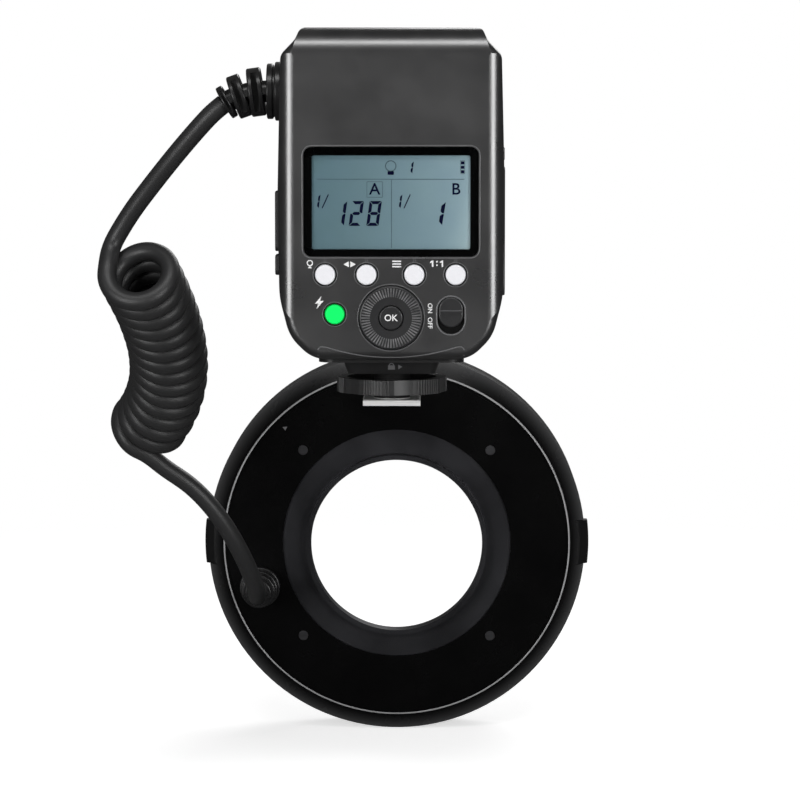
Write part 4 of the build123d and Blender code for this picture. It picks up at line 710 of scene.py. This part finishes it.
def laid_on(mesh, node, lift):
    """Moves a drawing made at y 0 straight forward until it lies on a node's surface."""
    target = nodes[node].data
    surface = BVHTree.FromPolygons([v.co for v in target.vertices], [p.vertices for p in target.polygons])
    forward = Vector((0, 1, 0))
    for vertex in mesh.vertices:
        start = Vector((vertex.co.x, cad_box[0][1] - 0.01, vertex.co.z))
        hit = surface.ray_cast(start, forward)[0]
        if hit:
            vertex.co.y += hit.y - lift
    return mesh


# Seven-segment figures
segments_of = {"1": "bc", "2": "abged", "8": "abcdefg"}


def segment_outlines(figure, left, bottom, width, height, bar, slant):
    """The lit bars of one figure: mitred at the corners, pointed at the middle, slanted to the right."""
    gap = bar * 0.12
    half = bar / 2
    middle = height / 2
    side = [(0, gap), (bar, bar + gap), (bar, middle - half - gap), (half, middle - gap), (0, middle - gap)]
    level = [(gap, 0), (width - gap, 0), (width - bar - gap, bar), (bar + gap, bar)]
    centre = [
        (half + gap, middle), (bar + gap, middle + half), (width - bar - gap, middle + half),
        (width - half - gap, middle), (width - bar - gap, middle - half), (bar + gap, middle - half),
    ]
    shapes = {
        "a": [(x, height - z) for x, z in level], "b": [(width - x, height - z) for x, z in side],
        "c": [(width - x, z) for x, z in side], "d": level, "e": side,
        "f": [(x, height - z) for x, z in side], "g": centre,
    }
    return [[(left + x + slant * z, bottom + z) for x, z in shapes[letter]] for letter in segments_of[figure]]


display_face = face_matrix(0, 0, display_y - print_thickness)


def display_print(name, outlines, finish):
    """Adds flat outlines to the display's face."""
    add_piece(name, drawn(name, outlines, display_face), "control_unit", finish)


def display_contents():
    """Segments, letters, icons and lines on the display's face."""
    slant = 0.14
    large_foot, large_height, large_bar = 58.8, 7.9, 1.0
    small_foot, small_height, small_bar = 64.4, 4.4, 0.6
    figures = []
    for figure, left, width in (("1", -17.0, 2.0), ("2", -13.5, 3.8), ("8", -7.9, 3.9)):
        figures += segment_outlines(figure, left, large_foot, width, large_height, large_bar, slant)
    figures += segment_outlines("1", 13.7, 58.9, 2.5, 7.6, 1.2, 0.16)
    figures += segment_outlines("1", 5.5, 75.4, 1.2, 3.9, 0.62, slant)
    for left in (-24.3, 1.7):
        figures += segment_outlines("1", left, small_foot, 1.3, small_height, small_bar, slant)
    display_print("display_figures", figures, segment_dark)
    letter_level = 70.35
    letter_places = {"A": -5.2, "B": 20.6}
    bulb = (-0.1, 77.8)
    battery_across, battery_level = 22.7, 77.45
    frame_place = (letter_places["A"], letter_level)
    lines = [
        box_outline(-23.6, 73.52, 23.3, 73.7), box_outline(0.05, 51.8, 0.23, 73.45),
        rounded_outline(5.1, 5.1, 0.3, *frame_place), rounded_outline(4.8, 4.8, 0.2, *frame_place),
        circle(*bulb, 1.8), circle(*bulb, 1.5),
        rounded_outline(1.45, 4.3, 0.15, battery_across, battery_level),
        rounded_outline(1.25, 4.1, 0.1, battery_across, battery_level),
    ]
    display_print("display_lines", lines, line_dark)
    small_top = small_foot + small_height
    marks = [stroke((left, small_foot), (left + 2.0, small_top), 0.34) for left in (-21.9, 4.1)]
    marks.append(rounded_outline(2.0, 1.2, 0.3, bulb[0], 75.6))
    marks += [rounded_outline(1.1, 0.95, 0.1, battery_across, level) for level in (76.0, 77.4, 78.8)]
    display_print("display_marks", marks, segment_dark)
    for letter, across in letter_places.items():
        place = face_matrix(across * mm, letter_level * mm, display_y - print_thickness)
        mesh = lettered("display_letter_" + letter, letter, 3.6, place)
        add_piece("display_letter_" + letter, mesh, "control_unit", segment_dark)


display_contents()

# Prints round the keys, thin lines and rims on the rear panel
panel_print_y = panel_y - print_thickness / 2
panel_face = face_matrix(0, 0, panel_print_y)
key_hole_radius = 3.45
key_nodes = ["function_button_1", "function_button_2", "function_button_3", "function_button_4", "test_button"]


def centre_of(name):
    """(across, up) of a node on the panel, in millimetres."""
    low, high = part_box(name)
    return (low[0] + high[0]) / 2 / mm, (low[2] + high[2]) / 2 / mm


slot_level = 30.4
slot_depth = 1.1
slot_centre = (centre_of("power_switch")[0], slot_level)


def panel_icons():
    """White icons and plain marks printed beside the keys."""
    bulb_place = (-25.75, 47.1)
    bulb = [circle(*bulb_place, 1.0, 30), circle(*bulb_place, 0.68, 30), box_outline(-26.2, 45.45, -25.3, 46.0)]
    arrows = [[(-15.1, 46.7), (-13.4, 47.65), (-13.4, 45.75)], [(-11.2, 46.7), (-12.9, 47.65), (-12.9, 45.75)]]
    bar_thickness = 0.42
    menu = [box_outline(0.4, level, 3.2, level + bar_thickness) for level in (45.75, 46.6, 47.45)]
    bolt = [[(-22.1, 36.6), (-24.2, 34.2), (-23.1, 34.2), (-23.7, 32.5), (-21.4, 35.1), (-22.6, 35.1)]]
    dot = 0.5
    ratio = [box_outline(14.35, level, 14.35 + dot, level + dot) for level in (46.2, 47.3)]
    for left in (12.4, 15.5):
        ratio.append([
            (left + 0.55, 45.9), (left + 1.05, 45.9), (left + 1.05, 47.95), (left + 0.65, 47.95),
            (left, 47.5), (left, 47.05), (left + 0.55, 47.35),
        ])
    outlines = bulb + arrows + menu + bolt + ratio
    add_piece("panel_icons", drawn("panel_icons", outlines, panel_face), "control_unit", print_white)
    word_height, word_across = 1.45, 12.35
    for name, words, level in (("panel_on", "ON", 32.75), ("panel_off", "OFF", 28.05)):
        place = face_matrix(word_across * mm, level * mm, panel_print_y, -pi / 2)
        add_piece(name, lettered(name, words, word_height, place), "control_unit", print_white)


def panel_rims():
    """Thin raised rims round the window, the keys, the dial and the switch, light grey as a painted highlight on their
    edges; painted shade in the gaps round the keys and on the switch slot's floor; and a pair of ticks above each of
    the four white keys.
    """
    low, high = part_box("display_window")
    width, height = (high[0] - low[0]) / mm, (high[2] - low[2]) / mm
    level = (high[2] + low[2]) / 2 / mm
    outlines = {"window_rim": (rounded_outline(width + 0.9, height + 0.9, 3.0, 0, level), 0.34, 0.10)}
    for number, name in enumerate(key_nodes, 1):
        outlines["key_rim_%d" % number] = (circle(*centre_of(name), key_hole_radius + 0.40, 48), 0.26, 0.10)
    outlines["dial_rim"] = (circle(*centre_of("select_dial"), 10.62, 96), 0.30, 0.08)
    outlines["switch_rim"] = (rounded_outline(9.1, 12.4, 4.5, *slot_centre), 0.46, 0.14)
    for name, (outline, thickness, proud) in outlines.items():
        mesh = raised_line(name, outline, thickness, proud, panel_y)
        add_piece(name, mesh, "control_unit", mark_and_highlight_grey)
    # Dark rings in the gaps round the keys and a dark sheet on the slot's floor: painted shade.
    gap_inner, gap_outer = -0.08, 0.24  # from the key hole's edge
    gaps = []
    for name in key_nodes:
        gaps += [circle(*centre_of(name), key_hole_radius + edge, 48) for edge in (gap_inner, gap_outer)]
    add_piece("key_gap_shade", drawn("key_gap_shade", gaps, panel_face), "control_unit", painted_shade_black)
    slot_floor = panel_y + slot_depth * mm - print_thickness
    shade = drawn("slot_shade", [rounded_outline(8.4, 11.7, 4.19, *slot_centre)], face_matrix(0, 0, slot_floor))
    add_piece("slot_shade", shade, "control_unit", painted_shade_black)
    window_foot = low[2] / mm - 0.6
    tick_foot = key_hole_radius + 0.5
    half_tick = 0.09
    ticks = []
    for name in key_nodes[:4]:
        across, up = centre_of(name)
        for side in (-0.3, 0.3):
            left = across + side - half_tick
            right = across + side + half_tick
            ticks.append(box_outline(left, up + tick_foot, right, window_foot))
    add_piece("panel_ticks", drawn("panel_ticks", ticks, panel_face), "control_unit", mark_and_highlight_grey)


panel_icons()
panel_rims()

def switch_ridge():
    """A fine ridge across the slider, with a short leg at each end, in light grey as a painted highlight."""
    half_length, thickness, leg_width, leg_length, leg_gap = 3.5, 0.24, 0.2, 1.04, 0.06
    middle = slot_centre[0]
    level = centre_of("power_switch")[1] + 0.4
    outlines = [box_outline(middle - half_length, level, middle + half_length, level + thickness)]
    for leg in (middle - half_length, middle + half_length - leg_width):
        leg_top = level - leg_gap
        outlines.append(box_outline(leg, leg_top - leg_length, leg + leg_width, leg_top))
    mesh = laid_on(drawn("switch_ridge", outlines, face_matrix(0, 0, 0)), "power_switch", print_thickness / 2)
    add_piece("switch_ridge", mesh, "switch", mark_and_highlight_grey)


def set_mark():
    """A generic word on the centre key."""
    face_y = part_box("set_button")[0][1] - print_thickness / 2
    across, level = centre_of("set_button")
    mesh = lettered("set_mark", "OK", 2.0, face_matrix(across * mm, level * mm, face_y))
    add_piece("set_mark", mesh, "set_key", print_white)


switch_ridge()
set_mark()


# Moulded lines and marks below the panel, on the neck and on the ring
def lower_details():
    """The raised line low on the case, a padlock and arrow on the neck, and the ring's mark and raised line."""
    half_width, top, foot, corner = 23.2, 20.4, 17.6, 0.7
    arc_reach, arc_rise, arc_low = 21, 3.4, 16.95
    arc = [(x, arc_low + arc_rise * (x / arc_reach) ** 2) for x in range(arc_reach, -arc_reach - 1, -3)]
    outline = [(half_width, foot), (half_width, top - corner), (half_width - corner, top)] + arc
    outline += [(corner - half_width, top), (-half_width, top - corner), (-half_width, foot)]
    # The case's low raised line in light grey: a painted highlight on the lip's edge.
    mesh = laid_on(raised_line("case_foot_line", outline, 0.34, 0.12, 0.0, closed=False), "rear_cover", 0.0)
    add_piece("case_foot_line", mesh, "control_unit", mark_and_highlight_grey)
    lock = [box_outline(-1.1, 12.1, 1.1, 13.5), circle(0, 13.5, 0.85, 16, 0, pi) + circle(0, 13.5, 0.55, 16, pi, -pi)]
    arrow = [[(2.2, 12.2), (2.2, 13.8), (3.5, 13.0)]]
    mesh = laid_on(drawn("neck_marks", lock + arrow, face_matrix(0, 0, 0)), "shoe_neck", print_thickness / 2)
    add_piece("neck_marks", mesh, "control_unit", mark_and_highlight_grey)
    mark = [[(-42.3, -23.4), (-40.6, -23.2), (-41.3, -24.7)]]
    mesh = laid_on(drawn("ring_mark", mark, face_matrix(0, 0, 0)), "ring_rear_cover", print_thickness / 2)
    add_piece("ring_mark", mesh, "ring_head", mark_and_highlight_grey)
    # The ring's raised line, painted pale grey as a highlight.
    bead_radius, bead_width, bead_proud = 64.2, 0.6, 0.15
    bead_line = circle(0, ring_axis_z / mm, bead_radius, 180)
    bead = raised_line("ring_bead", bead_line, bead_width, bead_proud, 0.0)
    add_piece("ring_bead", laid_on(bead, "ring_rear_cover", 0.0), "ring_head", bead_highlight_grey)


lower_details()

# Floor, backdrop and light
floor_gap = 0.2 * mm
floor_mesh = bpy.data.meshes.new("floor")
reach = 6.0
floor_z = cad_box[0][2] - floor_gap
corners = [(-reach, -reach, floor_z), (reach, -reach, floor_z), (reach, reach, floor_z), (-reach, reach, floor_z)]
floor_mesh.from_pydata(corners, [], [(0, 1, 2, 3)])
floor = bpy.data.objects.new("floor", floor_mesh)
bpy.context.scene.collection.objects.link(floor)

background_level = 0.16  # what the backdrop gives as light
reflected_level = 0.07  # what shiny surfaces see of it
floor_lift = 0.62  # brings the lit floor up to white for the camera


def backdrop_strength(tree):
    """White to the camera and through glass, a softer white in reflections, and a plain level as light."""
    paths = tree.nodes.new("ShaderNodeLightPath")
    shown = math_node(tree, "MAXIMUM", paths.outputs["Is Camera Ray"], paths.outputs["Is Transmission Ray"])
    shining = math_node(tree, "MULTIPLY", paths.outputs["Is Glossy Ray"], reflected_level)
    plain = math_node(tree, "MULTIPLY", paths.outputs["Is Diffuse Ray"], background_level)
    return math_node(tree, "MAXIMUM", shown, math_node(tree, "MAXIMUM", shining, plain))


def floor_finish():
    """Pale floor that keeps the object's shadow and turns into the white backdrop further out."""
    material, tree, shader = new_finish("floor_white", Roughness=0.9)
    place = object_place(tree)
    cloud = ramp(tree, noise(tree, place, 3.0, 2.0), 0.3, 0.7)
    tree.links.new(mix_colours(tree, cloud, (0.84, 0.84, 0.84, 1), (0.86, 0.86, 0.86, 1)), shader.inputs["Base Color"])
    length = tree.nodes.new("ShaderNodeVectorMath")
    length.operation = "LENGTH"
    tree.links.new(place, length.inputs[0])
    lift = tree.nodes.new("ShaderNodeEmission")
    paths = tree.nodes.new("ShaderNodeLightPath").outputs
    tree.links.new(math_node(tree, "MULTIPLY", paths["Is Camera Ray"], floor_lift), lift.inputs["Strength"])
    lifted = tree.nodes.new("ShaderNodeAddShader")
    tree.links.new(shader.outputs[0], lifted.inputs[0])
    tree.links.new(lift.outputs[0], lifted.inputs[1])
    glow = tree.nodes.new("ShaderNodeEmission")
    tree.links.new(backdrop_strength(tree), glow.inputs["Strength"])
    blend = tree.nodes.new("ShaderNodeMixShader")
    fade_start, fade_end = 0.30, 0.75  # metres from the frame's origin
    distance = ramp(tree, length.outputs["Value"], fade_start, fade_end)
    away = math_node(tree, "MAXIMUM", distance, paths["Is Glossy Ray"])
    tree.links.new(away, blend.inputs[0])
    tree.links.new(lifted.outputs[0], blend.inputs[1])
    tree.links.new(glow.outputs[0], blend.inputs[2])
    tree.links.new(blend.outputs[0], tree.nodes["Material Output"].inputs["Surface"])
    return material


floor_mesh.materials.append(floor_finish())

world = bpy.data.worlds.new("studio")
bpy.context.scene.world = world
world.use_nodes = True
sky = world.node_tree
sky.links.new(backdrop_strength(sky), sky.nodes["Background"].inputs["Strength"])
sky.nodes["Background"].inputs["Color"].default_value = (1, 1, 1, 1)


def softbox(name, place, target, width, height, power):
    """A large soft lamp aimed at a point; power in watts."""
    light = bpy.data.lights.new(name, "AREA")
    light.shape = "RECTANGLE"
    light.size = width
    light.size_y = height
    light.energy = power
    made = bpy.data.objects.new(name, light)
    made.location = place
    made.rotation_euler = (Vector(target) - Vector(place)).to_track_quat("-Z", "Y").to_euler()
    bpy.context.scene.collection.objects.link(made)


unit_centre = (0, 0.03, 0.03)
softbox("softbox_left", (-0.66, -1.0, 0.08), unit_centre, 0.48, 0.64, 6.6)
softbox("softbox_right", (0.66, -1.0, 0.08), unit_centre, 0.48, 0.64, 6.6)
softbox("softbox_top", (0, -0.70, 1.1), unit_centre, 1.1, 0.35, 6.5)
softbox("softbox_back", (0.45, 1.15, 0.75), unit_centre, 1.0, 0.6, 7)
